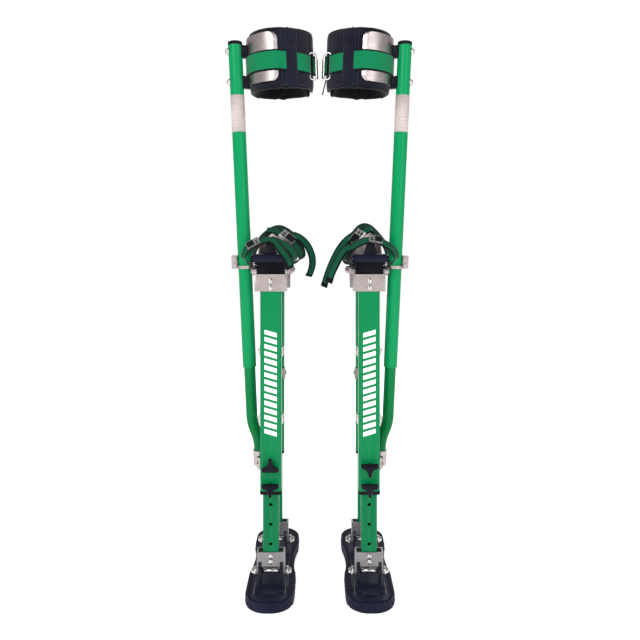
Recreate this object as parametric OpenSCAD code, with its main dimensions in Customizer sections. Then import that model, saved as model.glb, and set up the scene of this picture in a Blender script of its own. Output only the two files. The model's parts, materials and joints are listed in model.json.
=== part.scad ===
// A pair of drywall stilts. Each stilt is a parallel linkage: a front and a rear telescoping strut
// pivot on a floor plate below and carry a foot plate above, which stays level as the struts lean.
// Two springs on a rod between the struts push back against the lean. A leg tube rises from the
// front strut, past the foot plate, to a padded cuff for the calf.
// Frame: millimetres, +Z up, toes towards -Y, floor at z = 0, origin midway between the two stilts.
// Each module draws one piece of one stilt, centred on x = 0 with +X pointing outboard and its sole's
// toe at y = sole_toe; left() and right() put it in place.

/* [Stance and linkage] */
// Distance between the centre lines of the two stilts
stance = 190; // [182:1:400]
// Distance between the front and rear pivots
pivot_spacing = 131; // [129:1:133]
// Height of the lower pivots above the floor
foot_pivot_z = 42; // [42:1:44]
// Height of the upper pivots above the floor, as locked
head_pivot_z = 624; // [616:1:632]

/* [Struts] */
// Width of the front outer tube
front_w = 41; // [40:1:43]
// Depth of the front outer tube
front_d = 26; // [25:1:27]
// Width of the rear outer tube
rear_w = 36; // [35:1:38]
// Depth of the rear outer tube
rear_d = 22; // [21:1:23]
// Spacing of the height holes
hole_pitch = 38.1; // [37.5:0.1:38.5]
// Number of height holes in each inner tube
hole_count = 12; // [11:1:12]

/* [Leg tube and cuff] */
// Outer radius of the upper leg tube
leg_r = 13.25; // [13:0.05:13.5]
// Outward lean of the leg tube in degrees
lean_out = 2.1; // [1.8:0.1:2.4]
// Forward lean of the leg tube in degrees
lean_forward = 4; // [3:0.1:5]
// Outer radius of the calf pad
pad_r = 63; // [61:1:64]
// Thickness of the calf pad
pad_t = 12; // [8:1:14]

/* [Foot] */
// Overall length of the sole
sole_length = 315; // [305:1:320]
// Width of the sole at the ball of the foot
sole_width = 92; // [90:1:96]
// Length of the foot plate
plate_length = 238; // [234:1:242]
// Width of the foot plate
plate_width = 70; // [69:1:71]

/* [Hidden] */
$fn = 48;

GREEN = "#0b9c57";
SILVER = "#b9b6b4";
BLACK = "#1d1e26";

front_y = -78;
rear_y = front_y + pivot_spacing;
rod_y = (front_y + rear_y) / 2;

// Strut sections: outer tube, guide inside it, inner tube inside that.
wall = 2;
outer_r = 5;
front_inner_w = front_w - 10;
front_inner_d = front_d - 9;
rear_inner_w = rear_w - 8;
rear_inner_d = rear_d - 8;
slide_gap = 0.3;
first_hole_z = foot_pivot_z + 55;
lower_knob_z = first_hole_z + 3 * hole_pitch;
upper_knob_z = first_hole_z + 4 * hole_pitch;
front_outer_bottom = lower_knob_z - 11.3;
front_sleeve_top = upper_knob_z + 42;
rear_outer_bottom = lower_knob_z + 24;
outer_top = head_pivot_z - 18;
inner_bottom = foot_pivot_z + 15.6;
inner_top = first_hole_z + (hole_count - 1) * hole_pitch + 17;
stud_r = 3.1;
stud_hole_r = 3.25;
lock_travel = 5;

// Pivots: a bolt through two ears and a black block between them.
pin_r = 4;
bore_r = 4.08;
open_bore_r = 4.4;
ear_r = 10;
ear_t = 3;
foot_ear_x = 24;
lug_plate_t = 4;
head_ear_x = 27.5;
block_r = 10.5;
lug_r = 7.5;
block_gap = 1;
washer_t = 1.6;
washer_r = 9;
arm_t = 3;
nut_h = 7;

// Floor.
sole_toe = -150;
sole_t = 18;
floor_plate_t = 3;
floor_plate_top = sole_t + floor_plate_t;
tread_depth = 3;

// Foot plate.
foot_plate_z = head_pivot_z + 17;
plate_t = 4;
mat_t = 3;
plate_top = foot_plate_z + plate_t;
plate_front = -127;
plate_back = plate_front + plate_length;
front_strap_y = -118;
rear_strap_y = 13;
foot_strap_w = 24;
foot_strap_t = 2.4;
strap_half = 42;
arch_steps = 20;

// Springs on their rod, midway between the struts.
rod_r = 4;
spring_r = 10;
wire_r = 1.5;
spring_turns = 6;
lug_z = 402;
lug_t = 10;
spring_length = 58;
shelf_t = 5;
upper_shelf_z = lug_z + lug_t / 2 + spring_length;
lower_shelf_z = lug_z - lug_t / 2 - spring_length - shelf_t;

// Leg tube, in a frame of its own whose z axis is the tube's axis and whose origin is in the clamp.
clamp_x = 52.5;
clamp_y = -66;
clamp_z = head_pivot_z + 18;
clamp_half = 13;
clamp_band = 6;
clamp_bolt_z = 6.5;
clamp_ear = 12;
lower_leg_r = 11.15;
leg_wall = leg_r - lower_leg_r - 0.05;
leg_bottom = -209;
leg_top = 417;
lower_leg_top = 55;
bend_top = -307;
bend_r = 90;
bend_offset = 12.6;
bend_angle = acos(1 - bend_offset / (2 * bend_r));
bend_height = 2 * bend_r * sin(bend_angle);
stub_length = 29;
stub_end = bend_top - bend_height - stub_length;
cheek_z = clamp_z - 408;
cuff_x = -85;
cuff_y = 22;
cuff_reach = norm([cuff_x, cuff_y]);
cuff_angle = atan2(-cuff_y, -cuff_x);
pad_bottom = 322;
pad_height = 118;
band_bottom = 338;
band_height = 90;
band_t = 2.5;
band_half_angle = 74;
band_corner = 13;
strap_w = 38;
strap_bottom = 357;
strap_t = 2.5;
ring_angle = 192;
saddle_half = 7;
bolt_heights = [346, 404];

// ---------- shared shapes ----------

module round_rect(w, d, r) {
    square([w, d - 2 * r], center = true);
    square([w - 2 * r, d], center = true);
    for (x = [-1, 1], y = [-1, 1])
        translate([x * (w / 2 - r), y * (d / 2 - r)]) circle(r);
}

module bar(w, d, r, z0, z1)
    translate([0, 0, z0]) linear_extrude(z1 - z0) round_rect(w, d, r);

module box_tube(w, d, r, t, z0, z1)
    difference() {
        bar(w, d, r, z0, z1);
        bar(w - 2 * t, d - 2 * t, max(r - t, 1), z0 - 1, z1 + 1);
    }

module along_x(x0, x1, r) translate([x0, 0, 0]) rotate([0, 90, 0]) cylinder(h = x1 - x0, r = r);

module along_y(y0, y1, r) translate([0, y0, 0]) rotate([-90, 0, 0]) cylinder(h = y1 - y0, r = r);

// A plate drawn as an outline in (y, z) and extruded along X from x0 to x1.
module side_plate(x0, x1)
    translate([x0, 0, 0]) rotate([90, 0, 90]) linear_extrude(x1 - x0) children();

// A plate drawn as an outline in (x, z) and extruded along Y from y0 to y1.
module front_plate(y0, y1)
    translate([0, y1, 0]) rotate([90, 0, 0]) linear_extrude(y1 - y0) children();

// Pivot bolt on the x axis, with a domed head outboard past the arm and room for a nut inboard.
module pivot_bolt(grip, arm) {
    head_x = grip + washer_t + arm;
    along_x(-grip - washer_t - nut_h - 2, head_x, pin_r);
    translate([head_x, 0, 0]) rotate([0, 90, 0]) {
        cylinder(h = 2.4, r = 7.5);
        translate([0, 0, 2.4]) cylinder(h = 2, r1 = 7.5, r2 = 5);
    }
}

module pivot_nut(grip)
    difference() {
        translate([-grip - washer_t - nut_h, 0, 0]) rotate([0, 90, 0])
            cylinder(h = nut_h - 0.05, r = 7.2, $fn = 6);
        along_x(-grip - 20, -grip, bore_r);
    }

module washer(x0)
    difference() {
        along_x(x0 + 0.05, x0 + washer_t - 0.05, washer_r);
        along_x(x0 - 1, x0 + washer_t + 1, bore_r);
    }

module pivot_hardware(grip, arm) {
    pivot_bolt(grip, arm);
    pivot_nut(grip);
    washer(grip + arm);
    washer(-grip - washer_t);
}

// Two rivets, one above the other, through a plate whose front face is at y.
module rivet_pair(y, heights)
    for (z = heights) translate([0, 0, z]) {
        along_y(y - 1.8, y - 0.05, 4.2);
        along_y(y - 0.05, y + 2.2, 2.4);
    }

module rivet_holes(y, heights)
    for (z = heights) translate([0, 0, z]) along_y(y - 1, y + 6, 2.5);

// ---------- floor ----------

// A shoe shape: a squarish toe and a round heel joined by flanks that hollow at the waist.
module sole_outline() {
    half = sole_width / 2;
    toe_r = 42;
    heel_r = half + 1;
    toe_y = sole_toe + toe_r;
    heel_y = sole_toe + sole_length - heel_r;
    waist_y = 18;
    waist_depth = 6;
    waist_r = 300;
    for (side = [-1, 1]) translate([side * (half - toe_r), toe_y]) circle(toe_r, $fn = 96);
    translate([toe_r - half, sole_toe]) square([2 * (half - toe_r), toe_r + 1]);
    translate([0, heel_y]) circle(heel_r, $fn = 96);
    difference() {
        union() {
            translate([-half, toe_y]) square([2 * half, waist_y - toe_y]);
            translate([-heel_r, waist_y - 1]) square([2 * heel_r, heel_y - waist_y + 1]);
        }
        for (side = [-1, 1])
            translate([side * (half - waist_depth + waist_r), waist_y]) circle(waist_r, $fn = 360);
    }
}

module at_floor_screws()
    for (x = [-22, 22], y = [-118, -12, 104]) translate([x, y, 0]) children();

module sole() color(BLACK)
    difference() {
        linear_extrude(sole_t) sole_outline();
        for (y = [-126 : 18 : 144])
            translate([-sole_width, y - 2, -1]) cube([2 * sole_width, 4, tread_depth + 1]);
        at_floor_screws() translate([0, 0, sole_t - 12]) cylinder(h = 20, r = 2.6);
    }

// Bracket on the floor plate: two lugs on a common foot, with the pivot bolt bare between them.
module floor_bracket() {
    half = foot_ear_x - block_gap;
    difference() {
        union() {
            for (x = [-half, half - lug_plate_t]) side_plate(x, x + lug_plate_t) {
                polygon([[-block_r, floor_plate_top + 0.05], [block_r, floor_plate_top + 0.05],
                         [lug_r, foot_pivot_z], [-lug_r, foot_pivot_z]]);
                translate([0, foot_pivot_z]) circle(lug_r);
            }
            side_plate(-half, half) translate([-18, floor_plate_top + 0.05]) square([36, 4]);
        }
        translate([0, 0, foot_pivot_z]) along_x(-half - 1, half + 1, bore_r);
    }
}

module floor_plate() color(BLACK) {
    difference() {
        translate([0, -8, sole_t + 0.02]) linear_extrude(floor_plate_t - 0.04) round_rect(68, 270, 16);
        at_floor_screws() translate([0, 0, sole_t - 1]) cylinder(h = 20, r = 2.6);
    }
    at_floor_screws() {
        translate([0, 0, sole_t - 10]) cylinder(h = 10 + floor_plate_t, r = 2.5);
        translate([0, 0, floor_plate_top]) cylinder(h = 2.2, r = 4.5);
    }
    for (y = [front_y, rear_y]) translate([0, y, 0]) floor_bracket();
}

// ---------- struts ----------

module height_holes(y, depth)
    for (i = [0 : hole_count - 1])
        translate([0, y, first_hole_z + i * hole_pitch]) along_y(-depth, depth, stud_hole_r);

module inner_tube(y, w, d) color(GREEN)
    difference() {
        translate([0, y, 0]) box_tube(w, d, 4, wall, inner_bottom, inner_top);
        height_holes(y, d);
    }

// Ear outline in (y, z): a tab that narrows to the pivot.
module foot_ear(half, bottom, top) {
    translate([0, foot_pivot_z]) circle(ear_r);
    polygon([[-ear_r, foot_pivot_z], [ear_r, foot_pivot_z], [half, bottom], [half, top],
             [-half, top], [-half, bottom]]);
}

// Pressed yoke under an inner tube: a wide plate and a narrower cup in front and behind.
module foot_yoke(y, w, d) color(SILVER) {
    plate_t = 2.5;
    cup_bottom = foot_pivot_z + 13;
    plate_bottom = foot_pivot_z + 22;
    plate_end = foot_pivot_z + 40;
    rivets = [foot_pivot_z + 22, foot_pivot_z + 33];
    face = -d / 2 - 0.1 - plate_t;
    x = foot_ear_x;
    translate([0, y, 0]) difference() {
        union() {
            for (x0 = [x, -x - ear_t]) side_plate(x0, x0 + ear_t) foot_ear(-face, plate_bottom, plate_end);
            for (y0 = [face, -face - plate_t]) front_plate(y0, y0 + plate_t) {
                translate([-x - 1, plate_bottom]) square([2 * x + 2, plate_end - plate_bottom]);
                translate([-w / 2 - 2, cup_bottom]) square([w + 4, plate_end - cup_bottom]);
            }
            translate([-w / 2 - 2, face, cup_bottom]) cube([w + 4, -2 * face, 2.5]);
        }
        translate([0, 0, foot_pivot_z]) along_x(-60, 60, bore_r);
        bar(w + 0.1, d + 0.1, 4, inner_bottom - 0.05, plate_end + 30);
        rivet_holes(face, rivets);
    }
    translate([0, y, 0]) rivet_pair(face, rivets);
    translate([0, y, foot_pivot_z]) pivot_hardware(x + ear_t, 0);
}

module head_ear(half, bottom) {
    translate([0, head_pivot_z]) circle(ear_r);
    polygon([[-half, bottom], [half, bottom], [half, head_pivot_z - 20], [ear_r, head_pivot_z],
             [-ear_r, head_pivot_z], [-half, head_pivot_z - 20]]);
}

// Pressed yoke on top of an outer tube, with its pivot bolt; the front one also holds the clamp arm.
module head_yoke(y, w, d, arm) color(SILVER) {
    plate_t = 2.5;
    bottom = head_pivot_z - 39;
    top = head_pivot_z - 6;
    face = -d / 2 - 0.1 - plate_t;
    x = head_ear_x;
    rivets = [head_pivot_z - 32, head_pivot_z - 19];
    translate([0, y, 0]) difference() {
        union() {
            for (x0 = [x, -x - ear_t]) side_plate(x0, x0 + ear_t) head_ear(-face, bottom);
            for (y0 = [face, -face - plate_t]) front_plate(y0, y0 + plate_t)
                translate([-x - 1, bottom]) square([2 * x + 2, top - bottom]);
        }
        translate([0, 0, head_pivot_z]) along_x(-60, 60, bore_r);
        bar(w + 0.1, d + 0.1, outer_r, bottom - 1, outer_top + 1);
        rivet_holes(face, rivets);
    }
    translate([0, y, 0]) rivet_pair(face, rivets);
    translate([0, y, head_pivot_z]) pivot_hardware(x + ear_t, arm);
}

module front_outer_tube() color(GREEN)
    difference() {
        translate([0, front_y, 0]) box_tube(front_w, front_d, outer_r, wall, front_outer_bottom, outer_top);
        for (z = [lower_knob_z, upper_knob_z])
            translate([0, front_y - front_d / 2, z]) along_y(-5, 5, stud_hole_r);
    }

// Plastic guide between the front tubes, with a lip that caps the end of the outer tube.
module front_guide_sleeve() color(BLACK) {
    bore_w = front_inner_w + 2 * slide_gap;
    bore_d = front_inner_d + 2 * slide_gap;
    lip = 6;
    translate([0, front_y, 0]) difference() {
        union() {
            bar(front_w - 2 * wall - 0.4, front_d - 2 * wall - 0.4, 3,
                front_outer_bottom - 1, front_sleeve_top);
            bar(front_w + 1, front_d + 1, outer_r, front_outer_bottom - lip, front_outer_bottom - 0.05);
        }
        bar(bore_w, bore_d, 4.2, front_outer_bottom - lip - 1, front_sleeve_top + 1);
        for (z = [lower_knob_z, upper_knob_z])
            translate([0, -front_d / 2, z]) along_y(-5, 8, stud_hole_r);
    }
}

module rear_outer_tube() color(GREEN)
    translate([0, rear_y, 0]) {
        difference() {
            box_tube(rear_w, rear_d, 5, wall, rear_outer_bottom, outer_top);
            for (i = [1, 2]) translate([0, rear_d / 2, rear_outer_bottom + 22 * i]) along_y(-5, 5, stud_hole_r);
        }
        for (i = [1, 2]) translate([0, rear_d / 2, rear_outer_bottom + 22 * i]) {
            along_y(-3.5, 0.1, stud_r);
            along_y(0.1, 6, 7);
        }
    }

module rear_bushing() color(BLACK)
    translate([0, rear_y, 0]) difference() {
        union() {
            bar(rear_w, rear_d, 5, rear_outer_bottom - 6, rear_outer_bottom - 0.05);
            bar(rear_w - 2 * wall - 0.4, rear_d - 2 * wall - 0.4, 3, rear_outer_bottom - 1, rear_outer_bottom + 60);
        }
        bar(rear_inner_w + 2 * slide_gap, rear_inner_d + 2 * slide_gap, 4.2,
            rear_outer_bottom - 8, rear_outer_bottom + 61);
        for (i = [1, 2]) translate([0, rear_d / 2, rear_outer_bottom + 22 * i]) along_y(-8, 5, stud_hole_r + 0.2);
    }

// Knob of a height lock, drawn back so that its stud ends just clear of the inner tube: a cross bar
// that narrows to a blunt tail, on a stud that enters the inner tube's wall when it is pressed home.
module knob(z, tail) color(BLACK) {
    face = front_y - front_d / 2 - lock_travel;
    tip = front_y - front_inner_d / 2 - 0.5;
    translate([0, 0, z]) {
        rotate([0, tail, 0]) front_plate(face - 14, face - 5) {
            translate([0, 3]) square([24, 8], center = true);
            for (x = [-12, 12]) translate([x, 3]) circle(4);
            polygon([[-13, 0], [13, 0], [2.5, -15.5], [-2.5, -15.5]]);
            translate([0, -15.4]) circle(2.6);
        }
        along_y(face - 5.5, face - 0.3, 7);
        along_y(face - 1, tip, stud_r);
    }
}

module upper_knob(tail) knob(upper_knob_z, tail);

module lower_knob(tail) knob(lower_knob_z, tail);

// ---------- springs ----------

// A bracket that clasps a tube at y, w wide and d deep, and reaches a shelf of thickness h out to
// shelf_end; s is 1 when the shelf runs towards the heel and -1 when it runs towards the toes.
module clasp(y, w, d, z, s, h, shelf_end) {
    face = y + s * d / 2;
    cheek_t = 2.4;
    cheek_h = h + 12;
    cheek_z = z - 6;
    from_y = min(face - s * 18, face + s * 3);
    for (side = [-1, 1]) {
        translate([side * (w / 2 + 0.1 + cheek_t / 2) - cheek_t / 2, from_y, cheek_z])
            cube([cheek_t, 21, cheek_h]);
        translate([side * (w / 2 + 0.1 + cheek_t), face - s * 9, z + h / 2])
            rotate([0, side * 90, 0]) cylinder(h = 2.4, r = 4.5);
    }
    translate([-w / 2 - cheek_t, min(face + s * 0.1, face + s * 3), cheek_z])
        cube([w + 2 * cheek_t, 2.9, cheek_h]);
    translate([-14, min(face + s * 1, shelf_end), z]) cube([28, abs(shelf_end - face) - 1, h]);
}

module spring_rod() color(SILVER) {
    for (z = [lower_shelf_z, upper_shelf_z])
        difference() {
            clasp(front_y, front_w, front_d, z, 1, shelf_t, rod_y + 12);
            translate([0, rod_y, z - 1]) cylinder(h = shelf_t + 2, r = rod_r + 0.05);
        }
    translate([0, rod_y, lower_shelf_z - 14]) cylinder(h = upper_shelf_z - lower_shelf_z + 32, r = rod_r);
    for (z = [lower_shelf_z - 8, upper_shelf_z + shelf_t + 0.1])
        difference() {
            translate([0, rod_y, z]) cylinder(h = 7.9, r = 7.5, $fn = 6);
            translate([0, rod_y, z - 1]) cylinder(h = 10, r = rod_r + 0.05);
        }
}

function coil_point(i, n, turns, length) =
    [spring_r * cos(360 * turns * i / n), spring_r * sin(360 * turns * i / n),
     wire_r + 0.3 + (length - 2 * wire_r - 0.6) * i / n];

// A coil of round wire from z = 0 to z = length, swept as rings of points round the helix.
module coil(turns, length) {
    steps = 14;
    sides = 6;
    n = turns * steps;
    points = [for (i = [0 : n]) let (c = coil_point(i, n, turns, length), a = 360 * turns * i / n)
        for (k = [0 : sides - 1]) let (b = 360 * k / sides)
            c + wire_r * [cos(b) * cos(a), cos(b) * sin(a), sin(b)]];
    faces = concat(
        [[for (k = [0 : sides - 1]) k]],
        [for (i = [0 : n - 1], k = [0 : sides - 1])
            let (a = i * sides + k, b = i * sides + (k + 1) % sides)
                [a, a + sides, b + sides, b]],
        [[for (k = [sides - 1 : -1 : 0]) n * sides + k]]);
    polyhedron(points, faces, convexity = 10);
}

module upper_spring() color(SILVER)
    translate([0, rod_y, lug_z + lug_t / 2]) coil(spring_turns, spring_length);

module lower_spring() color(SILVER)
    translate([0, rod_y, lug_z - lug_t / 2 - spring_length]) coil(spring_turns, spring_length);

module spring_lug() color(SILVER)
    difference() {
        clasp(rear_y, rear_w, rear_d, lug_z - lug_t / 2, -1, lug_t, rod_y - 12);
        translate([0, rod_y, lug_z - lug_t]) linear_extrude(2 * lug_t) {
            translate([-5, 0]) square([10, 5]);
            for (y = [0, 5]) translate([0, y]) circle(5);
        }
    }

// ---------- foot plate ----------

module foot_plate() color(BLACK) {
    end_r = plate_width / 2;
    flange_y = -50;
    flange_length = 56;
    flange_h = 8;
    middle_y = (plate_front + plate_back) / 2;
    difference() {
        union() {
            translate([-end_r, plate_front + 6, foot_plate_z])
                cube([plate_width, plate_length - end_r - 6, plate_t]);
            translate([0, plate_back - end_r, foot_plate_z]) cylinder(h = plate_t, r = end_r);
            for (x = [-end_r, end_r - 3])
                translate([x, flange_y, foot_plate_z - flange_h + 1]) cube([3, flange_length, flange_h]);
        }
        for (x = [-18, 18], y = [-40, -8])
            translate([x, y, foot_plate_z - 1]) cylinder(h = plate_t + 2, r = 5);
    }
    translate([0, middle_y - 4, plate_top + 0.05])
        linear_extrude(mat_t) round_rect(plate_width - 10, plate_length - 50, 12);
    translate([0, plate_front + 8, foot_plate_z + 8.2]) {
        along_x(-29, 29, 8);
        for (side = [-1, 1])
            translate([side * 29, 0, 0]) rotate([0, side * 90, 0]) cylinder(h = 5, r1 = 8, r2 = 4);
    }
}

// The rear bore is wider, because the linkage closes there.
module foot_pivot_blocks() color(BLACK)
    for (y = [front_y, rear_y]) translate([0, y, 0]) difference() {
        half = head_ear_x - block_gap;
        union() {
            side_plate(-half, half) {
                translate([-block_r, head_pivot_z])
                    square([2 * block_r, foot_plate_z - head_pivot_z - 0.05]);
                translate([0, head_pivot_z]) circle(block_r);
            }
        }
        translate([0, 0, head_pivot_z])
            along_x(-half - 1, half + 1, y == rear_y ? open_bore_r : bore_r);
    }

// Strip bent round the back of the foot plate, cut to an arch seen from the front.
module heel_bracket() color(SILVER) {
    t = 2.4;
    inner_r = plate_width / 2 + 0.1;
    centre_y = plate_back - plate_width / 2;
    reach = 34;
    crown_r = 36;
    crown_z = plate_top + 31;
    intersection() {
        translate([0, centre_y, foot_plate_z - 2]) linear_extrude(110) difference() {
            union() {
                circle(inner_r + t);
                translate([-inner_r - t, -reach]) square([2 * (inner_r + t), reach]);
            }
            circle(inner_r);
            translate([-inner_r, -reach - 1]) square([2 * inner_r, reach + 1]);
        }
        front_plate(-50, 160) {
            translate([0, crown_z]) circle(crown_r + 3, $fn = 96);
            translate([-50, foot_plate_z - 2]) square([100, crown_z - foot_plate_z + 2]);
        }
        side_plate(-60, 60)
            polygon([[centre_y - reach, foot_plate_z - 2], [centre_y - reach, plate_top + 12],
                     [centre_y + 24, plate_top + 90], [160, plate_top + 90], [160, foot_plate_z - 2]]);
    }
}

// Points of an arch in (x, z) from one side of the foot to the other.
function arch(half, rise, base) =
    [for (i = [0 : arch_steps]) let (a = 180 * i / arch_steps) [half * cos(a), base + rise * sin(a)]];

// The webbing loop's outline in (x, z): an arch over the foot and a run under the plate.
module strap_loop(rise, t) {
    base = plate_top + 4;
    under = foot_plate_z - 0.6;
    difference() {
        polygon(concat(arch(strap_half, rise, base),
                       [[-strap_half, under - t], [strap_half, under - t]]));
        polygon(concat(arch(strap_half - t, rise - t, base),
                       [[-strap_half + t, under], [strap_half - t, under]]));
    }
}

// A tail of webbing that hangs inboard from (x0, z0) to (x1, z1), as an outline in (x, z).
module strap_tail(x0, z0, x1, z1, t)
    polygon([[x0, z0], [x0 - 12, z0 - 8], [x1 - 0.3 * (x1 - x0), z0 - 26], [x1, z1],
             [x1 + t, z1], [x1 - 0.3 * (x1 - x0) + t, z0 - 27], [x0 - 11, z0 - 11], [x0, z0 - t - 1]]);

module foot_straps() color(GREEN) {
    t = foot_strap_t;
    front_plate(front_strap_y, front_strap_y + foot_strap_w) {
        strap_loop(34, t);
        strap_tail(-41, plate_top + 14, -72, plate_top - 26, t);
    }
    front_plate(rear_strap_y, rear_strap_y + foot_strap_w) {
        strap_loop(56, t);
        strap_tail(-41, plate_top + 26, -78, plate_top - 20, t);
    }
}

module strap_buckle(angle)
    rotate([0, angle, 0]) difference() {
        translate([-15, -14, 0]) cube([30, 28, 3.5]);
        for (x = [-11.5, 2.5]) translate([x, -11, -1]) cube([9, 22, 6]);
    }

module strap_buckles() color(SILVER) {
    translate([-25, front_strap_y + foot_strap_w / 2, plate_top + 34]) strap_buckle(-26);
    translate([-25, rear_strap_y + foot_strap_w / 2, plate_top + 53]) strap_buckle(-38);
}

// ---------- leg tube and cuff ----------

// Puts children drawn along the leg tube's own axis in place beside the front strut.
module on_leg()
    translate([clamp_x, clamp_y, clamp_z]) multmatrix(leg_matrix()) children();

function unit(v) = v / norm(v);
function leg_axis() = unit([tan(lean_out), -tan(lean_forward), 1]);
function leg_matrix() = let (w = leg_axis(), u = unit(cross([0, 1, 0], w)), v = cross(w, u))
    [[u.x, v.x, w.x, 0], [u.y, v.y, w.y, 0], [u.z, v.z, w.z, 0], [0, 0, 0, 1]];

module round_tube(r, t, z0, z1)
    difference() {
        translate([0, 0, z0]) cylinder(h = z1 - z0, r = r);
        translate([0, 0, z0 - 1]) cylinder(h = z1 - z0 + 2, r = r - t);
    }

module upper_leg_tube() color(GREEN) on_leg() {
    difference() {
        round_tube(leg_r, leg_wall, leg_bottom, leg_top);
        for (z = bolt_heights)
            translate([0, 0, z]) rotate([0, 0, cuff_angle]) along_x(-30, 30, 3.05);
    }
    translate([0, 0, leg_top + 0.05]) {
        cylinder(h = 3, r = leg_r);
        translate([0, 0, -9]) cylinder(h = 9, r = leg_r - leg_wall - 0.1);
        translate([0, 0, 3]) cylinder(h = 2.5, r1 = leg_r - 1, r2 = leg_r - 5);
    }
}

// Lower leg tube: straight, then two opposed bends that carry it inboard to its socket.
module lower_leg_tube() color(GREEN) on_leg() difference() {
    union() {
        translate([0, 0, bend_top]) cylinder(h = lower_leg_top - bend_top, r = lower_leg_r);
        translate([-bend_r, 0, bend_top]) rotate([-90, 0, 0])
            rotate_extrude(angle = bend_angle, $fn = 96) translate([bend_r, 0]) circle(lower_leg_r);
        translate([bend_r - bend_offset, 0, bend_top - bend_height]) rotate([90, 0, 0])
            rotate([0, 0, 180 - bend_angle]) rotate_extrude(angle = bend_angle, $fn = 96)
                translate([bend_r, 0]) circle(lower_leg_r);
        translate([-bend_offset, 0, stub_end]) cylinder(h = stub_length, r = lower_leg_r);
    }
    translate([0, 0, bend_top + 1]) cylinder(h = 400, r = lower_leg_r - 1.6);
}

module leg_tube_mounts() color(SILVER) {
    arm_x = head_ear_x + ear_t + 0.05;
    cheek_x = front_w / 2 + 0.1;
    // Socket for the foot of the leg tube, on a cheek that is bolted to the front strut's side.
    difference() {
        union() {
            on_leg() translate([-bend_offset, 0, stub_end - 6]) cylinder(h = 30, r = lower_leg_r + 2.2);
            side_plate(cheek_x, cheek_x + 3) translate([front_y - 10, cheek_z + 6]) square([42, 24]);
        }
        on_leg() translate([-bend_offset, 0, stub_end]) cylinder(h = 60, r = lower_leg_r + 0.1);
    }
    for (z = [cheek_z + 12, cheek_z + 24]) translate([0, front_y, z]) along_x(cheek_x + 3, cheek_x + 7, 5.5);
    // Split clamp on an arm held by the head pivot bolt: a narrow band round the upper leg tube, with
    // a taller half shell behind the tube and two ears outboard.
    on_leg() translate([0, 0, -clamp_half]) {
        rotate([0, 0, 6.5]) rotate_extrude(angle = 347)
            translate([leg_r + 0.08, 0]) square([2.9, clamp_band]);
        rotate([0, 0, 9]) rotate_extrude(angle = 165)
            translate([leg_r + 0.2, 0.5]) square([3.1, 2 * clamp_half - 1]);
        for (y = [-7, 1.5]) difference() {
            translate([leg_r + 1, y, 0.25]) cube([clamp_ear - 1, 5.5, 2 * clamp_half - 0.5]);
            for (z = [-clamp_bolt_z, clamp_bolt_z])
                translate([leg_r + clamp_ear / 2 + 0.5, 0, clamp_half + z]) along_y(-20, 20, 3.05);
        }
    }
    difference() {
        union() {
            side_plate(arm_x, arm_x + arm_t - 0.1) {
                translate([front_y, head_pivot_z]) circle(9);
                translate([front_y, head_pivot_z - 9]) square([clamp_y - front_y + 7, 18]);
            }
            translate([arm_x, front_y + washer_r + 0.4, head_pivot_z - 2]) cube([6.5, 10, 14]);
        }
        translate([0, front_y, head_pivot_z]) along_x(0, 60, bore_r);
    }
    on_leg() for (z = [-clamp_bolt_z, clamp_bolt_z]) translate([leg_r + clamp_ear / 2 + 0.5, 0, z]) {
        along_y(-8, 8, 3);
        along_y(-11, -7.05, 4.6);
        along_y(7.05, 11, 4.6);
    }
}

// One corner of the band's outline, seen along the leg tube's bolts, from its side to its end.
function band_corner_points(side, end, turn) = [for (i = [0 : 6])
    let (t = turn * 15 * i + (turn > 0 ? 0 : 90),
         arc = band_half_angle - (1 - sin(t)) * band_corner / pad_r * 180 / PI)
    [side * pad_r * sin(arc),
     band_bottom + band_height / 2 + end * (band_height / 2 - band_corner * (1 - cos(t)))]];

module calf_band() color(SILVER) on_leg() translate([cuff_x, cuff_y, 0])
    rotate([0, 0, cuff_angle + 180]) difference() {
        intersection() {
            translate([0, 0, band_bottom]) difference() {
                cylinder(h = band_height, r = pad_r + 0.1 + band_t, $fn = 96);
                translate([0, 0, -1]) cylinder(h = band_height + 2, r = pad_r + 0.1, $fn = 96);
            }
            mirror([1, 0, 0]) side_plate(8, 80)
                polygon(concat(band_corner_points(1, 1, -1), band_corner_points(-1, 1, 1),
                               band_corner_points(-1, -1, -1), band_corner_points(1, -1, 1)));
        }
        for (z = bolt_heights) translate([0, 0, z]) along_x(-80, -50, 3.05);
    }

module calf_pad() color(BLACK) on_leg() translate([cuff_x, cuff_y, 0]) rotate([0, 0, cuff_angle - 172])
    rotate_extrude(angle = 344, $fn = 96)
        translate([pad_r - pad_t, pad_bottom]) square([pad_t, pad_height]);

module calf_strap() color(GREEN) on_leg() translate([cuff_x, cuff_y, 0])
    rotate([0, 0, cuff_angle - 165]) rotate_extrude(angle = 330, $fn = 96)
        translate([pad_r + band_t + 0.2, strap_bottom]) square([strap_t, strap_w]);

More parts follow.
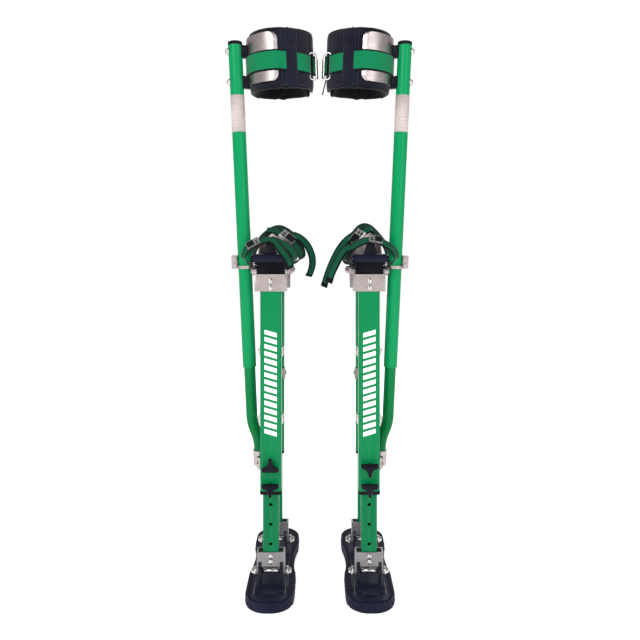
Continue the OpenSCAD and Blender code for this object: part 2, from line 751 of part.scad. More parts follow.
// Spacers and bolts that carry the band on the leg tube, and the loop buckle of the strap.
module calf_hardware() color(SILVER) on_leg() {
    band_outer = cuff_reach - pad_r - band_t - 0.15;
    strap_outer = pad_r + band_t + 0.2 + strap_t;
    for (z = bolt_heights) translate([0, 0, z]) rotate([0, 0, cuff_angle + 180]) {
        difference() {
            translate([leg_r - 5, -9, -saddle_half])
                cube([band_outer - leg_r + 8, 18, 2 * saddle_half]);
            translate([0, 0, -20]) cylinder(h = 40, r = leg_r + 0.05);
            translate([cuff_reach, 0, -20]) cylinder(h = 40, r = pad_r + band_t + 0.15, $fn = 96);
            along_x(0, 60, 3.05);
        }
        along_x(-leg_r - 3, band_outer + band_t, 3);
        along_x(-leg_r - 6, -leg_r - 0.3, 5.5);
    }
    translate([cuff_x, cuff_y, strap_bottom + strap_w / 2]) rotate([0, 0, cuff_angle + ring_angle])
        difference() {
            translate([pad_r + 0.3, -3, -25]) cube([strap_outer + 2.5 - pad_r, 6, 50]);
            translate([pad_r + 2.4, -4, -21]) cube([strap_outer - pad_r - 2.1, 8, 42]);
        }
}

// ---------- the two stilts ----------

module front_inner_tube() inner_tube(front_y, front_inner_w, front_inner_d);

module rear_inner_tube() inner_tube(rear_y, rear_inner_w, rear_inner_d);

module front_foot_yoke() foot_yoke(front_y, front_inner_w, front_inner_d);

module rear_foot_yoke() foot_yoke(rear_y, rear_inner_w, rear_inner_d);

module front_head_yoke() head_yoke(front_y, front_w, front_d, arm_t);

module rear_head_yoke() head_yoke(rear_y, rear_w, rear_d, 0);

module left() translate([stance / 2, -(2 * sole_toe + sole_length) / 2, 0]) children();

module right() mirror([1, 0, 0]) left() children();

left() sole();  // left_sole
left() floor_plate();  // left_floor_plate
left() front_inner_tube();  // left_front_inner_tube
left() front_foot_yoke();  // left_front_foot_yoke
left() rear_inner_tube();  // left_rear_inner_tube
left() rear_foot_yoke();  // left_rear_foot_yoke
left() front_outer_tube();  // left_front_outer_tube
left() front_guide_sleeve();  // left_front_guide_sleeve
left() front_head_yoke();  // left_front_head_yoke
left() lower_leg_tube();  // left_lower_leg_tube
left() leg_tube_mounts();  // left_leg_tube_mounts
left() spring_rod();  // left_spring_rod
left() upper_spring();  // left_upper_spring
left() lower_spring();  // left_lower_spring
left() rear_outer_tube();  // left_rear_outer_tube
left() rear_bushing();  // left_rear_bushing
left() rear_head_yoke();  // left_rear_head_yoke
left() spring_lug();  // left_spring_lug
left() foot_plate();  // left_foot_plate
left() foot_pivot_blocks();  // left_foot_pivot_blocks
left() heel_bracket();  // left_heel_bracket
left() foot_straps();  // left_foot_straps
left() strap_buckles();  // left_strap_buckles
left() upper_leg_tube();  // left_upper_leg_tube
left() calf_band();  // left_calf_band
left() calf_pad();  // left_calf_pad
left() calf_strap();  // left_calf_strap
left() calf_hardware();  // left_calf_hardware
left() upper_knob(0);  // left_upper_knob
left() lower_knob(0);  // left_lower_knob
right() sole();  // right_sole
right() floor_plate();  // right_floor_plate
right() front_inner_tube();  // right_front_inner_tube
right() front_foot_yoke();  // right_front_foot_yoke
right() rear_inner_tube();  // right_rear_inner_tube
right() rear_foot_yoke();  // right_rear_foot_yoke
right() front_outer_tube();  // right_front_outer_tube
right() front_guide_sleeve();  // right_front_guide_sleeve
right() front_head_yoke();  // right_front_head_yoke
right() lower_leg_tube();  // right_lower_leg_tube
right() leg_tube_mounts();  // right_leg_tube_mounts
right() spring_rod();  // right_spring_rod
right() upper_spring();  // right_upper_spring
right() lower_spring();  // right_lower_spring
right() rear_outer_tube();  // right_rear_outer_tube
right() rear_bushing();  // right_rear_bushing
right() rear_head_yoke();  // right_rear_head_yoke
right() spring_lug();  // right_spring_lug
right() foot_plate();  // right_foot_plate
right() foot_pivot_blocks();  // right_foot_pivot_blocks
right() heel_bracket();  // right_heel_bracket
right() foot_straps();  // right_foot_straps
right() strap_buckles();  // right_strap_buckles
right() upper_leg_tube();  // right_upper_leg_tube
right() calf_band();  // right_calf_band
right() calf_pad();  // right_calf_pad
right() calf_strap();  // right_calf_strap
right() calf_hardware();  // right_calf_hardware
right() upper_knob(180);  // right_upper_knob
right() lower_knob(0);  // right_lower_knob
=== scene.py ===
"""A pair of drywall stilts: materials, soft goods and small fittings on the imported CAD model.

Everything is in metres. A stilt's pieces are built once in its own frame, where x = 0 is its centre
line and +x points outboard, and placed twice, mirrored for the right stilt.
"""

import json
from math import atan2, cos, degrees, exp, hypot, pi, radians, sin, sqrt

import bpy
from mathutils import Matrix, Vector, noise
from mathutils.bvhtree import BVHTree


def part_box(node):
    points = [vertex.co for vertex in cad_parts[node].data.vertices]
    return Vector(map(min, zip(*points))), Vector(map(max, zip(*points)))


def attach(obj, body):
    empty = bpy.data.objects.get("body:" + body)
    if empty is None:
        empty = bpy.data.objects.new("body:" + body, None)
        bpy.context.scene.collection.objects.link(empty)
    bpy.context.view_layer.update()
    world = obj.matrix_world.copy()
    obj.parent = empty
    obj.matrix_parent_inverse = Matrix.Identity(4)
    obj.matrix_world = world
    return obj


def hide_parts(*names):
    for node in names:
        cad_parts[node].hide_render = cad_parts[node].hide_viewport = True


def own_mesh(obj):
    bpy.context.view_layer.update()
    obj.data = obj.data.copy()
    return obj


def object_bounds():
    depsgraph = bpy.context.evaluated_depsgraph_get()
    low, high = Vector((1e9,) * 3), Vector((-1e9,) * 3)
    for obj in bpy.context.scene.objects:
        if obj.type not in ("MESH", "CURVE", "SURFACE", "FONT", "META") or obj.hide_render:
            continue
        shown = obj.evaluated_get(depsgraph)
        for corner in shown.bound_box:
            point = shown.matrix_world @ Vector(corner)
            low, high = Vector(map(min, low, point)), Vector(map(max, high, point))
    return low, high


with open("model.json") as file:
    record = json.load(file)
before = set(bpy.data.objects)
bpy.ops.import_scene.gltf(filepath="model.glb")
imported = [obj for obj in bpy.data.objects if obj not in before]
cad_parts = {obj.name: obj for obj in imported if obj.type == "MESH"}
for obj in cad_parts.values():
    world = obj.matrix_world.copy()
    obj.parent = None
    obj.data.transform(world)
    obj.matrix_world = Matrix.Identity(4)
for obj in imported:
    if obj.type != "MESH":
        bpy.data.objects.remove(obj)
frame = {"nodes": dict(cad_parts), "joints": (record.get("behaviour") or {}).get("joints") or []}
nodes = frame["nodes"]
cad_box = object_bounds()

SIDES = {"left": 1, "right": -1}
MM = 0.001


# ---------- where things are, read from the CAD model ----------

def centre(node):
    low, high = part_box(node)
    return (low + high) / 2


def local_box(part):
    """Lowest and highest corners of a left-stilt node, in the stilt's own frame."""
    low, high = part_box("left_" + part)
    shift = Vector((stilt_x, 0, 0))
    return low - shift, high - shift


stilt_x = centre("left_sole").x
leg_axis = Vector(next(j["axis"] for j in frame["joints"] if j["name"] == "left_leg_height")).normalized()
leg_u = Vector((0, 1, 0)).cross(leg_axis).normalized()
leg_v = leg_axis.cross(leg_u)
leg_rotation = Matrix((leg_u, leg_v, leg_axis)).transposed()
leg_point = centre("left_upper_leg_tube") - Vector((stilt_x, 0, 0))


def to_world(side, point):
    return Vector((SIDES[side] * (stilt_x + point[0]), point[1], point[2]))


def from_leg(point):
    """From the leg tube's frame, whose z runs along the tube from its middle, to the stilt's frame."""
    return leg_rotation @ Vector(point) + leg_point


def leg_box(part):
    """Box of a left-stilt node measured along the leg tube's own axes."""
    inverse = leg_rotation.transposed()
    shift = Vector((stilt_x, 0, 0))
    points = [inverse @ (v.co - shift - leg_point) for v in nodes["left_" + part].data.vertices]
    low = Vector([min(p[i] for p in points) for i in range(3)])
    high = Vector([max(p[i] for p in points) for i in range(3)])
    return low, high


# ---------- materials ----------

DULL = 0.06             # specular level of all that isn't metal: the softest gloss the finishes show
METAL_SPECULAR = 0.5
WHITE = (1, 1, 1, 1)


def set_inputs(tree, node, inputs):
    """Set a node's inputs by name or number: a socket is linked, anything else is its value."""
    for name, value in inputs.items():
        if isinstance(value, bpy.types.NodeSocket):
            tree.links.new(value, node.inputs[name])
        else:
            node.inputs[name].default_value = value


def add_node(tree, kind, inputs=None, **settings):
    node = tree.nodes.new("ShaderNode" + kind)
    for name, value in settings.items():
        setattr(node, name, value)
    set_inputs(tree, node, inputs or {})
    return node


def shade(colour, factor=1.0, lift=0.0):
    """A colour made darker or lighter, with alpha."""
    return (*(c * factor + lift for c in colour), 1)


def new_material(name, colour, roughness, metallic=0.0):
    material = bpy.data.materials.new(name)
    material.use_nodes = True
    tree = material.node_tree
    shader = tree.nodes["Principled BSDF"]
    set_inputs(tree, shader, {"Base Color": shade(colour), "Roughness": roughness, "Metallic": metallic,
                              "Specular IOR Level": METAL_SPECULAR if metallic else DULL})
    return material, tree, shader


def object_place(tree):
    return add_node(tree, "TexCoord").outputs["Object"]


def noise_at(tree, scale, detail=3.0, place=None):
    """Noise over the object's own place; scales are in cells per metre."""
    vector = object_place(tree) if place is None else place
    return add_node(tree, "TexNoise", {"Vector": vector, "Scale": scale, "Detail": detail}).outputs["Fac"]


def spread(tree, source, low, high, start=0.3, end=0.7):
    """Map a source's values from start..end to low..high; 0.3 to 0.7 is where most of a noise lies."""
    return add_node(tree, "MapRange", {"Value": source, "From Min": start, "From Max": end,
                                       "To Min": low, "To Max": high}).outputs["Result"]


def mix_colours(tree, first, second, share):
    """Inputs 0, 6 and 7 and output 2 are the share and the colours of the Mix node."""
    return add_node(tree, "Mix", {0: share, 6: first, 7: second}, data_type="RGBA").outputs[2]


def bump(tree, height, distance, strength):
    return add_node(tree, "Bump", {"Height": height, "Distance": distance,
                                   "Strength": strength}).outputs["Normal"]


def painted(name, colour, worn, roughness, orange_peel):
    """Gloss paint with slight colour drift, uneven gloss, fine texture and lighter worn edges."""
    material, tree, shader = new_material(name, colour, roughness)
    drift = spread(tree, noise_at(tree, 9.0), 0, 1)
    body = mix_colours(tree, shade(colour, 0.86), shade(colour), drift)
    sharp_edges = spread(tree, add_node(tree, "NewGeometry").outputs["Pointiness"], 0, 1, 0.54, 0.62)
    set_inputs(tree, shader, {
        "Base Color": mix_colours(tree, body, shade(worn), sharp_edges),
        "Roughness": spread(tree, noise_at(tree, 35.0), roughness - 0.05, roughness + 0.07),
        "Normal": bump(tree, noise_at(tree, 900.0, 1.0), orange_peel, 0.35),
        "Coat Weight": 0.12, "Coat Roughness": 0.15})
    return material


def metal(name, colour, roughness, stretch):
    """Plated or bare metal with fine drawn lines and faint stains."""
    material, tree, shader = new_material(name, colour, roughness, 1.0)
    place = add_node(tree, "Mapping", {"Vector": object_place(tree), "Scale": stretch}).outputs["Vector"]
    lines = noise_at(tree, 60.0, 4.0, place)
    stain = spread(tree, noise_at(tree, 45.0), 0, 1)
    set_inputs(tree, shader, {
        "Base Color": mix_colours(tree, shade(colour, 0.8), shade(colour), stain),
        "Roughness": spread(tree, lines, roughness - 0.07, roughness + 0.1),
        "Normal": bump(tree, lines, 0.00012, 0.4)})
    return material


def moulded(name, colour, roughness, grain_scale, grain_depth):
    """Moulded plastic or rubber with a fine grain and dusty patches."""
    material, tree, shader = new_material(name, colour, roughness)
    dust = noise_at(tree, 22.0, 5.0)
    patches = spread(tree, dust, 0, 1)
    set_inputs(tree, shader, {
        "Base Color": mix_colours(tree, shade(colour), shade(colour, 1.5, 0.006), patches),
        "Roughness": spread(tree, dust, roughness - 0.06, roughness + 0.1),
        "Normal": bump(tree, noise_at(tree, grain_scale, 2.0), grain_depth, 0.6)})
    return material


def webbing(name, colour, rough=0.7):
    """Woven strap. The ribs run across the strap, from the UV map, whose unit is one metre."""
    material, tree, shader = new_material(name, colour, rough)
    place = add_node(tree, "UVMap", uv_map="weave").outputs["UV"]
    ribs = add_node(tree, "TexWave", {"Vector": place, "Scale": 170.0, "Distortion": 1.2, "Detail": 1.0},
                    wave_type="BANDS", bands_direction="X")
    rows = add_node(tree, "TexWave", {"Vector": place, "Scale": 85.0},
                    wave_type="BANDS", bands_direction="Y")
    weave = add_node(tree, "Math", {0: ribs.outputs["Fac"], 1: rows.outputs["Fac"]},
                     operation="MULTIPLY").outputs["Value"]
    set_inputs(tree, shader, {
        "Base Color": mix_colours(tree, shade(colour, 0.72), shade(colour), spread(tree, weave, 0.1, 1)),
        "Normal": bump(tree, weave, 0.0003, 0.6),
        "Sheen Weight": 0.25, "Sheen Roughness": 0.4})
    return material


def cloth(name, colour, thread_scale):
    """Knitted cover of a pad: fine cells, a soft nap and slight fading."""
    material, tree, shader = new_material(name, colour, 0.85)
    knit = add_node(tree, "TexVoronoi", {"Vector": object_place(tree), "Scale": thread_scale})
    fade = spread(tree, noise_at(tree, 18.0, 4.0), 0, 1)
    set_inputs(tree, shader, {
        "Base Color": mix_colours(tree, shade(colour), shade(colour, 1.45, 0.004), fade),
        "Normal": bump(tree, knit.outputs["Distance"], 0.0004, 0.5),
        "Sheen Weight": 0.2, "Sheen Roughness": 0.5})
    return material


STRUT_GREEN = painted("strut_green_paint", (0.0, 0.150, 0.041), (0.003, 0.24, 0.08), 0.28, 0.00005)
GREEN_PAINT = painted("green_paint", (0.0, 0.19, 0.047), (0.003, 0.30, 0.10), 0.24, 0.00005)
# A darker copy of the strut green for the inner tubes, so the struts are darker towards the bottom.
DEEP_GREEN = painted("deep_green_paint", (0.0, 0.118, 0.034), (0.003, 0.20, 0.075), 0.28, 0.00005)
BLACK_PAINT = painted("black_paint", (0.0040, 0.0050, 0.019), (0.020, 0.022, 0.044), 0.34, 0.00008)
PLATED = metal("plated_steel", (0.56, 0.49, 0.48), 0.36, (1, 1, 8))
DARK_STEEL = metal("dark_steel", (0.34, 0.32, 0.33), 0.42, (1, 1, 8))
BRIGHT = metal("bright_steel", (0.68, 0.66, 0.65), 0.26, (8, 8, 1))
SATIN = metal("satin_steel", (0.62, 0.60, 0.60), 0.34, (0.4, 0.4, 0.4))
SPRING = metal("spring_steel", (0.46, 0.45, 0.46), 0.3, (6, 6, 6))
RUBBER = moulded("sole_rubber", (0.0088, 0.0100, 0.026), 0.46, 420.0, 0.0004)
GLOSS = moulded("gloss_plastic", (0.006, 0.0065, 0.011), 0.2, 600.0, 0.00004)
PLASTIC = moulded("black_plastic", (0.006, 0.0065, 0.011), 0.36, 700.0, 0.0001)
KNIT = cloth("navy_knit", (0.0052, 0.0056, 0.014), 1100.0)
# Near-black cloth for the inside faces of the pad: painted shade inside the cuff, much darker than the navy
# knit.
PAD_INSIDE_SHADE = cloth("pad_inside_painted_shade", (0.0014, 0.0015, 0.003), 900.0)
BINDING = cloth("binding_tape", (0.003, 0.0033, 0.007), 1500.0)
THREAD = cloth("seam_thread", (0.03, 0.032, 0.05), 2500.0)
GREEN_WEB = webbing("green_webbing", (0.006, 0.255, 0.10))
DARK_WEB = webbing("dark_green_webbing", (0.005, 0.05, 0.028))
BLACK_WEB = webbing("black_webbing", (0.006, 0.008, 0.011), 0.8)
MID_WEB = webbing("mid_green_webbing", (0.006, 0.11, 0.052))
MARKING = moulded("white_marking", (0.80, 0.84, 0.80), 0.4, 500.0, 0.00003)
PAPER = moulded("blank_label", (0.47, 0.41, 0.395), 0.5, 300.0, 0.00005)
PRINT = moulded("label_print", (0.44, 0.33, 0.32), 0.5, 300.0, 0.00003)


# ---------- mesh building ----------

def add_object(name, data):
    made = bpy.data.objects.new(name, data)
    bpy.context.scene.collection.objects.link(made)
    return made


def new_mesh(name, points, faces):
    mesh = bpy.data.meshes.new(name)
    mesh.from_pydata(points, [], faces)
    return mesh


def make_piece(name, side, body, shapes, smooth=True):
    """One piece from a list of shapes, each (points, faces, material, uv or None), in the stilt frame.

    A shape's material is one material, or a list with one for each face.
    """
    sign = SIDES[side]
    points, faces, material_of, uv_of = [], [], [], []
    materials = []
    for shape_points, shape_faces, material, uv in shapes:
        start = len(points)
        points += [to_world(side, p) for p in shape_points]
        own = material if isinstance(material, list) else [material] * len(shape_faces)
        for face, face_material in zip(shape_faces, own):
            if face_material not in materials:
                materials.append(face_material)
            order = list(face) if sign > 0 else list(reversed(face))
            faces.append([start + i for i in order])
            material_of.append(materials.index(face_material))
            uv_of.append([uv[i] if uv else (0.0, 0.0) for i in order])
    mesh = new_mesh(f"{side}_{name}", points, faces)
    layer = mesh.uv_layers.new(name="weave")
    for polygon, index, uvs in zip(mesh.polygons, material_of, uv_of):
        polygon.material_index = index
        polygon.use_smooth = smooth
        for loop, uv in zip(polygon.loop_indices, uvs):
            layer.data[loop].uv = uv
    for material in materials:
        mesh.materials.append(material)
    mesh.update()
    piece = add_object(f"{side}_{name}", mesh)
    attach(piece, f"{side}_{body}")
    return piece


def sweep(rings, closed, material, uvs=None):
    """Skin a row of equal rings. closed joins the last ring to the first, else the ends are capped."""
    count, size = len(rings), len(rings[0])
    points = [p for ring in rings for p in ring]
    faces = []
    for i in range(count if closed else count - 1):
        for k in range(size):
            a, b = i * size, ((i + 1) % count) * size
            n = (k + 1) % size
            faces.append((a + k, a + n, b + n, b + k))
    if not closed:
        faces.append(tuple(reversed(range(size))))
        faces.append(tuple((count - 1) * size + k for k in range(size)))
    return points, faces, material, uvs


def tangents_along(path, closed=False):
    """A tangent at each point of a path."""
    ends = (path[-1], path[0]) if closed else (path[0], path[-1])
    padded = [ends[0], *path, ends[1]]
    return [(after - before).normalized() for before, after in zip(padded, padded[2:])]


def circle(middle, radius, first, second, sides):
    """Points of a circle, from its two axes."""
    return [middle + radius * (cos(a) * first + sin(a) * second)
            for a in (2 * pi * k / sides for k in range(sides))]


def wire(path, radius, material, closed=False, sides=10, across=Vector((0, 0, 1))):
    """Round wire along a path."""
    path = [Vector(p) for p in path]
    rings = []
    for point, tangent in zip(path, tangents_along(path, closed)):
        first = across.cross(tangent)
        if first.length < 0.01:
            first = Vector((1, 0, 0)).cross(tangent)
        first.normalize()
        second = tangent.cross(first)
        rings.append(circle(point, radius, first, second, sides))
    return sweep(rings, closed, material)


def lathe(base, axis, profile, material, sides=20, core=0.0):
    """Turned shape from (distance along the axis, radius beyond the core's) pairs in millimetres."""
    first = axis.orthogonal().normalized()
    second = axis.cross(first)
    rings = [circle(base + axis * along * MM, core + radius * MM, first, second, sides)
             for along, radius in profile]
    return sweep(rings, False, material)


def ribbon(path, normals, width, thickness, middle=GREEN_WEB, edge=BLACK_WEB, rim=2.2 * MM):
    """Webbing along a path, facing along the normals: a body and two darker selvedges, slightly crowned."""
    tangents = tangents_along(path)
    lengths = [0.0]
    for a, b in zip(path, path[1:]):
        lengths.append(lengths[-1] + (b - a).length)
    half = width / 2
    inner = [-half + rim + (width - 2 * rim) * k / 6 for k in range(7)]
    stations = [-half, -half + rim * 0.4] + inner + [half - rim * 0.4, half]
    heights = [0.25, 0.8] + [1.0] * 7 + [0.8, 0.25]
    section = [(a, h) for a, h in zip(stations, heights)]
    section += [(a, -h) for a, h in reversed(section)]
    points, uv = [], []
    for point, normal, tangent, length in zip(path, normals, tangents, lengths):
        sideways = tangent.cross(Vector(normal)).normalized()
        up = sideways.cross(tangent).normalized()
        for station, height in section:
            points.append(point + sideways * station + up * height * thickness / 2)
            uv.append((length, station))
    size = len(section)
    faces, materials = [], []
    for i in range(len(path) - 1):
        for k in range(size):
            n = (k + 1) % size
            faces.append((i * size + k, i * size + n, (i + 1) * size + n, (i + 1) * size + k))
            station = (abs(section[k][0]) + abs(section[n][0])) / 2
            materials.append(edge if station > half - rim else middle)
    faces += [tuple(reversed(range(size))), tuple((len(path) - 1) * size + k for k in range(size))]
    materials += [edge, edge]
    return points, faces, materials, uv


def smooth_path(corners, steps=8):
    """Catmull-Rom curve through the corner points."""
    corners = [Vector(c) for c in corners]
    padded = [2 * corners[0] - corners[1]] + corners + [2 * corners[-1] - corners[-2]]
    path = []
    for a, b, c, d in zip(padded, padded[1:], padded[2:], padded[3:]):
        for i in range(steps):
            t = i / steps
            path.append(0.5 * ((2 * b) + (c - a) * t + (2 * a - 5 * b + 4 * c - d) * t ** 2
                               + (3 * b - a - 3 * c + d) * t ** 3))
    path.append(corners[-1])
    return path


def rounded_loop(width, height, corner, steps=6):
    """Points of a rounded rectangle in a plane, centred on the origin."""
    points = []
    for q, (sx, sy) in enumerate(((1, 1), (-1, 1), (-1, -1), (1, -1))):
        for i in range(steps + 1):
            a = pi / 2 * (q + i / steps)
            points.append((sx * (width / 2 - corner) + corner * cos(a),
                           sy * (height / 2 - corner) + corner * sin(a)))
    return points


def bump_at(value, place, spread):
    return exp(-((value - place) / spread) ** 2)


def smooth_step(value, start, end):
    t = min(max((value - start) / (end - start), 0.0), 1.0)
    return t * t * (3 - 2 * t)


# ---------- materials and edges of the CAD nodes ----------

NODE_MATERIALS = {
    "sole": RUBBER, "floor_plate": BLACK_PAINT, "front_inner_tube": DEEP_GREEN,
    "front_foot_yoke": DARK_STEEL, "rear_inner_tube": DEEP_GREEN, "rear_foot_yoke": DARK_STEEL,
    "front_outer_tube": STRUT_GREEN, "front_guide_sleeve": PLASTIC, "front_head_yoke": PLATED,
    "lower_leg_tube": GREEN_PAINT, "leg_tube_mounts": PLATED, "spring_rod": BRIGHT,
    "rear_outer_tube": STRUT_GREEN, "rear_bushing": PLASTIC, "rear_head_yoke": PLATED,
    "spring_lug": PLATED, "foot_plate": BLACK_PAINT, "foot_pivot_blocks": PLASTIC,
    "heel_bracket": PLATED, "upper_leg_tube": GREEN_PAINT, "calf_band": PLATED,
}
EDGE_ROUNDING = {
    "sole": 2.5 * MM, "foot_plate": 1.0 * MM, "heel_bracket": 0.8 * MM, "calf_band": 0.8 * MM,
    "foot_pivot_blocks": 0.8 * MM, "leg_tube_mounts": 0.6 * MM, "spring_lug": 0.6 * MM,
    "front_foot_yoke": 0.5 * MM, "rear_foot_yoke": 0.5 * MM, "front_head_yoke": 0.5 * MM,
    "rear_head_yoke": 0.5 * MM, "front_guide_sleeve": 0.5 * MM,
}


def dress_cad_nodes():
    for side in SIDES:
        for part, material in NODE_MATERIALS.items():
            node = nodes[f"{side}_{part}"]
            node.data.materials.clear()
            node.data.materials.append(material)
            if part in EDGE_ROUNDING:
                rounding = node.modifiers.new("edge_rounding", "BEVEL")
                rounding.width = EDGE_ROUNDING[part]
                rounding.segments = 2
                rounding.limit_method = "ANGLE"
                rounding.angle_limit = radians(40)
                rounding.harden_normals = True


# ---------- calf cuff ----------

pad_low, pad_high = leg_box("calf_pad")
band_low = leg_box("calf_band")[0]
strap_low, strap_high = leg_box("calf_strap")
tube_low, tube_high = leg_box("upper_leg_tube")
tube_radius = (tube_high.y - tube_low.y) / 2
pad_radius = (pad_high.y - pad_low.y) / 2
pad_tall = pad_high.z - pad_low.z
cuff_centre = Vector(((pad_low.x + pad_high.x) / 2, (pad_low.y + pad_high.y) / 2))
pole_angle = atan2(-cuff_centre.y, -cuff_centre.x)
pad_thickness = 12 * MM
band_outer = pad_radius + 2.6 * MM
band_reach = radians(70)
band_fade = radians(12)
strap_middle = (strap_low.z + strap_high.z) / 2
strap_width = strap_high.z - strap_low.z
strap_sheet = 2.0 * MM
panel_from = radians(88)
panel_to = radians(107)
ring_angle = radians(141)
pad_reach = radians(172)
pad_seams = [radians(a) for a in (-146, -116, -84, 84, 112, 140)]
rim_seam = 9 * MM
PAD_VOXEL = 3.4 * MM
PAD_PRESSURE = 4.0
PAD_MOST_MOVE = 5 * MM
SIMULATION_STEPS = 20


def cuff_point(angle, radius, height):
    """A point round the cuff; the angle is from the leg tube, positive towards the toes."""
    a = pole_angle - angle
    return from_leg((cuff_centre.x + radius * cos(a), cuff_centre.y + radius * sin(a), height))


def cuff_place(point):
    """Angle, radius and height round the cuff of a point in the stilt's frame."""
    q = leg_rotation.transposed() @ (point - leg_point)
    dx, dy = q.x - cuff_centre.x, q.y - cuff_centre.y
    angle = (pole_angle - atan2(dy, dx) + pi) % (2 * pi) - pi
    return angle, hypot(dx, dy), q.z


def cuff_outward(angle):
    a = pole_angle - angle
    return leg_rotation @ Vector((cos(a), sin(a), 0))


def strap_height(angle):
    return strap_middle - 3.5 * MM * smooth_step(angle, band_reach, ring_angle)


def pad_blank():
    """Thin C-shaped wrap with round edges, before it is filled."""
    turns, tall = 150, 18
    middle_radius = pad_radius - pad_thickness / 2 - 0.4 * MM
    half_thick = pad_thickness / 2 - 1.6 * MM
    rings = []
    for i in range(turns + 1):
        angle = -pad_reach + 2 * pad_reach * i / turns
        end = min(1.0, (1 - abs(angle) / pad_reach) * 18 + 0.05)
        swell = sqrt(1 - (1 - end) ** 2)
        ring = []
        for side in (1, -1):
            for k in range(tall + 1):
                t = k / tall if side > 0 else 1 - k / tall
                height = pad_low.z + 0.6 * MM + (pad_tall - 1.2 * MM) * t
                rim = min(t, 1 - t) * pad_tall
                round_off = max(0.15, sqrt(max(0.0, 1 - (1 - min(rim / (5 * MM), 1)) ** 2)))
                radius = middle_radius + side * half_thick * round_off * swell
                ring.append(cuff_point(angle, radius, height))
        rings.append(ring)
    points, faces, _, _ = sweep(rings, False, KNIT)
    return points, faces


def mesh_through(holder, modifier_type, **settings):
    """Give a mesh object one modifier, and replace its mesh with the result."""
    modifier = holder.modifiers.new("step", modifier_type)
    for key, value in settings.items():
        setattr(modifier, key, value)
    depsgraph = bpy.context.evaluated_depsgraph_get()
    mesh = bpy.data.meshes.new_from_object(holder.evaluated_get(depsgraph))
    holder.modifiers.clear()
    holder.data = mesh


def inflate(holder, pressure, cap):
    """Fill a closed mesh by cloth simulation; no point moves further than cap."""
    cloth_step = holder.modifiers.new("cloth", "CLOTH")
    settings = cloth_step.settings
    settings.quality = 5
    settings.use_pressure = True
    settings.uniform_pressure_force = pressure
    settings.effector_weights.gravity = 0
    scene = bpy.context.scene
    for number in range(1, SIMULATION_STEPS + 1):
        scene.frame_set(number)
    depsgraph = bpy.context.evaluated_depsgraph_get()
    filled = bpy.data.meshes.new_from_object(holder.evaluated_get(depsgraph))
    holder.modifiers.clear()
    for vertex, target in zip(holder.data.vertices, filled.vertices):
        step = target.co - vertex.co
        if step.length > cap:
            step *= cap / step.length
        vertex.co += step
    bpy.data.meshes.remove(filled)
    scene.frame_set(1)


def shape_pad(point):
    """Sewn and pressed place of a point of the filled pad, in the stilt's frame."""
    angle, radius, height = cuff_place(point)
    free = smooth_step(abs(angle), band_reach, band_reach + band_fade)
    outside = smooth_step(radius, pad_radius - pad_thickness * 0.7, pad_radius - pad_thickness * 0.3)
    seam = sum(bump_at(angle, place, radians(2.0)) for place in pad_seams)
    seam *= smooth_step(min(height - pad_low.z, pad_high.z - height), rim_seam * 0.5, rim_seam * 1.5)
    rims = sum(bump_at(height, place, 2.2 * MM) for place in (pad_low.z + rim_seam, pad_high.z - rim_seam))
    depth = 1.3 * MM * max(seam, 0.0) * free * outside + 0.9 * MM * rims * outside
    depth -= 1.2 * MM * max(seam, 0.7 * rims) * (1 - outside)
    wrinkle = noise.noise(Vector((angle * 3, height * 24, 0)))
    wrinkle += noise.noise(Vector((angle * 2, height * 60, 4)))
    radius += 0.35 * MM * wrinkle * (free * outside + 1 - outside) - depth
    ceiling = pad_radius - 0.1 * MM + 3.0 * MM * free
    pressed = exp(-((height - strap_height(angle)) / (strap_width * 0.58)) ** 6) * free
    ceiling -= 4.4 * MM * pressed
    radius = min(radius, ceiling)
    return cuff_point(angle, radius, height)


def build_pad_shape():
    """The finished left pad: filled, subdivided, then sewn and pressed."""
    points, faces = pad_blank()
    holder = add_object("pad_blank", new_mesh("pad_blank", points, faces))
    mesh_through(holder, "REMESH", mode="VOXEL", voxel_size=PAD_VOXEL)
    inflate(holder, PAD_PRESSURE, PAD_MOST_MOVE)
    mesh_through(holder, "SUBSURF", levels=1, render_levels=1)
    shaped = [shape_pad(v.co) for v in holder.data.vertices]
    faces = [tuple(f.vertices) for f in holder.data.polygons]
    materials = []
    for face in faces:
        height = sum(cuff_place(shaped[i])[2] for i in face) / len(face)
        near_rim = min(height - pad_low.z, pad_high.z - height) < rim_seam
        inside = sum(cuff_place(shaped[i])[1] for i in face) / len(face) < pad_radius - pad_thickness / 2
        # Inside faces get the near-black cloth, painted shade inside the cuff; faces near a rim get the
        # binding tape.
        materials.append(PAD_INSIDE_SHADE if inside else BINDING if near_rim else KNIT)
    bpy.data.objects.remove(holder)
    return shaped, faces, materials, None


pad_shape = build_pad_shape()
pad_tree = BVHTree.FromPolygons(pad_shape[0], pad_shape[1])


def surface_radius(angle, height):
    """Radius of the pad's outer surface, or of the band where it covers the pad."""
    start = cuff_point(angle, pad_radius + 20 * MM, height)
    hit = pad_tree.ray_cast(start, -cuff_outward(angle))[0]
    return cuff_place(hit)[1] if hit else pad_radius - 2 * MM


def strap_seat():
    """Inner radius of the calf strap at each degree, smoothed so that it lies as one band."""
    seat = []
    for degree in range(-180, 180):
        angle = radians(degree)
        levels = [strap_height(angle) + strap_width * k / 4 for k in (-2, -1, 0, 1, 2)]
        inside = min(max(angle, -pad_reach + 0.06), pad_reach - 0.06)
        touch = max(surface_radius(inside, level) for level in levels) + 0.3 * MM
        over_band = band_outer + 0.3 * MM
        share = smooth_step(abs(angle), band_reach + radians(2), band_reach + band_fade)
        seat.append(over_band * (1 - share) + touch * share)
    reach = 5
    near = range(-reach, reach + 1)
    return [sum(seat[(i + k) % 360] for k in near) / len(near) for i in range(360)]


strap_seats = strap_seat()


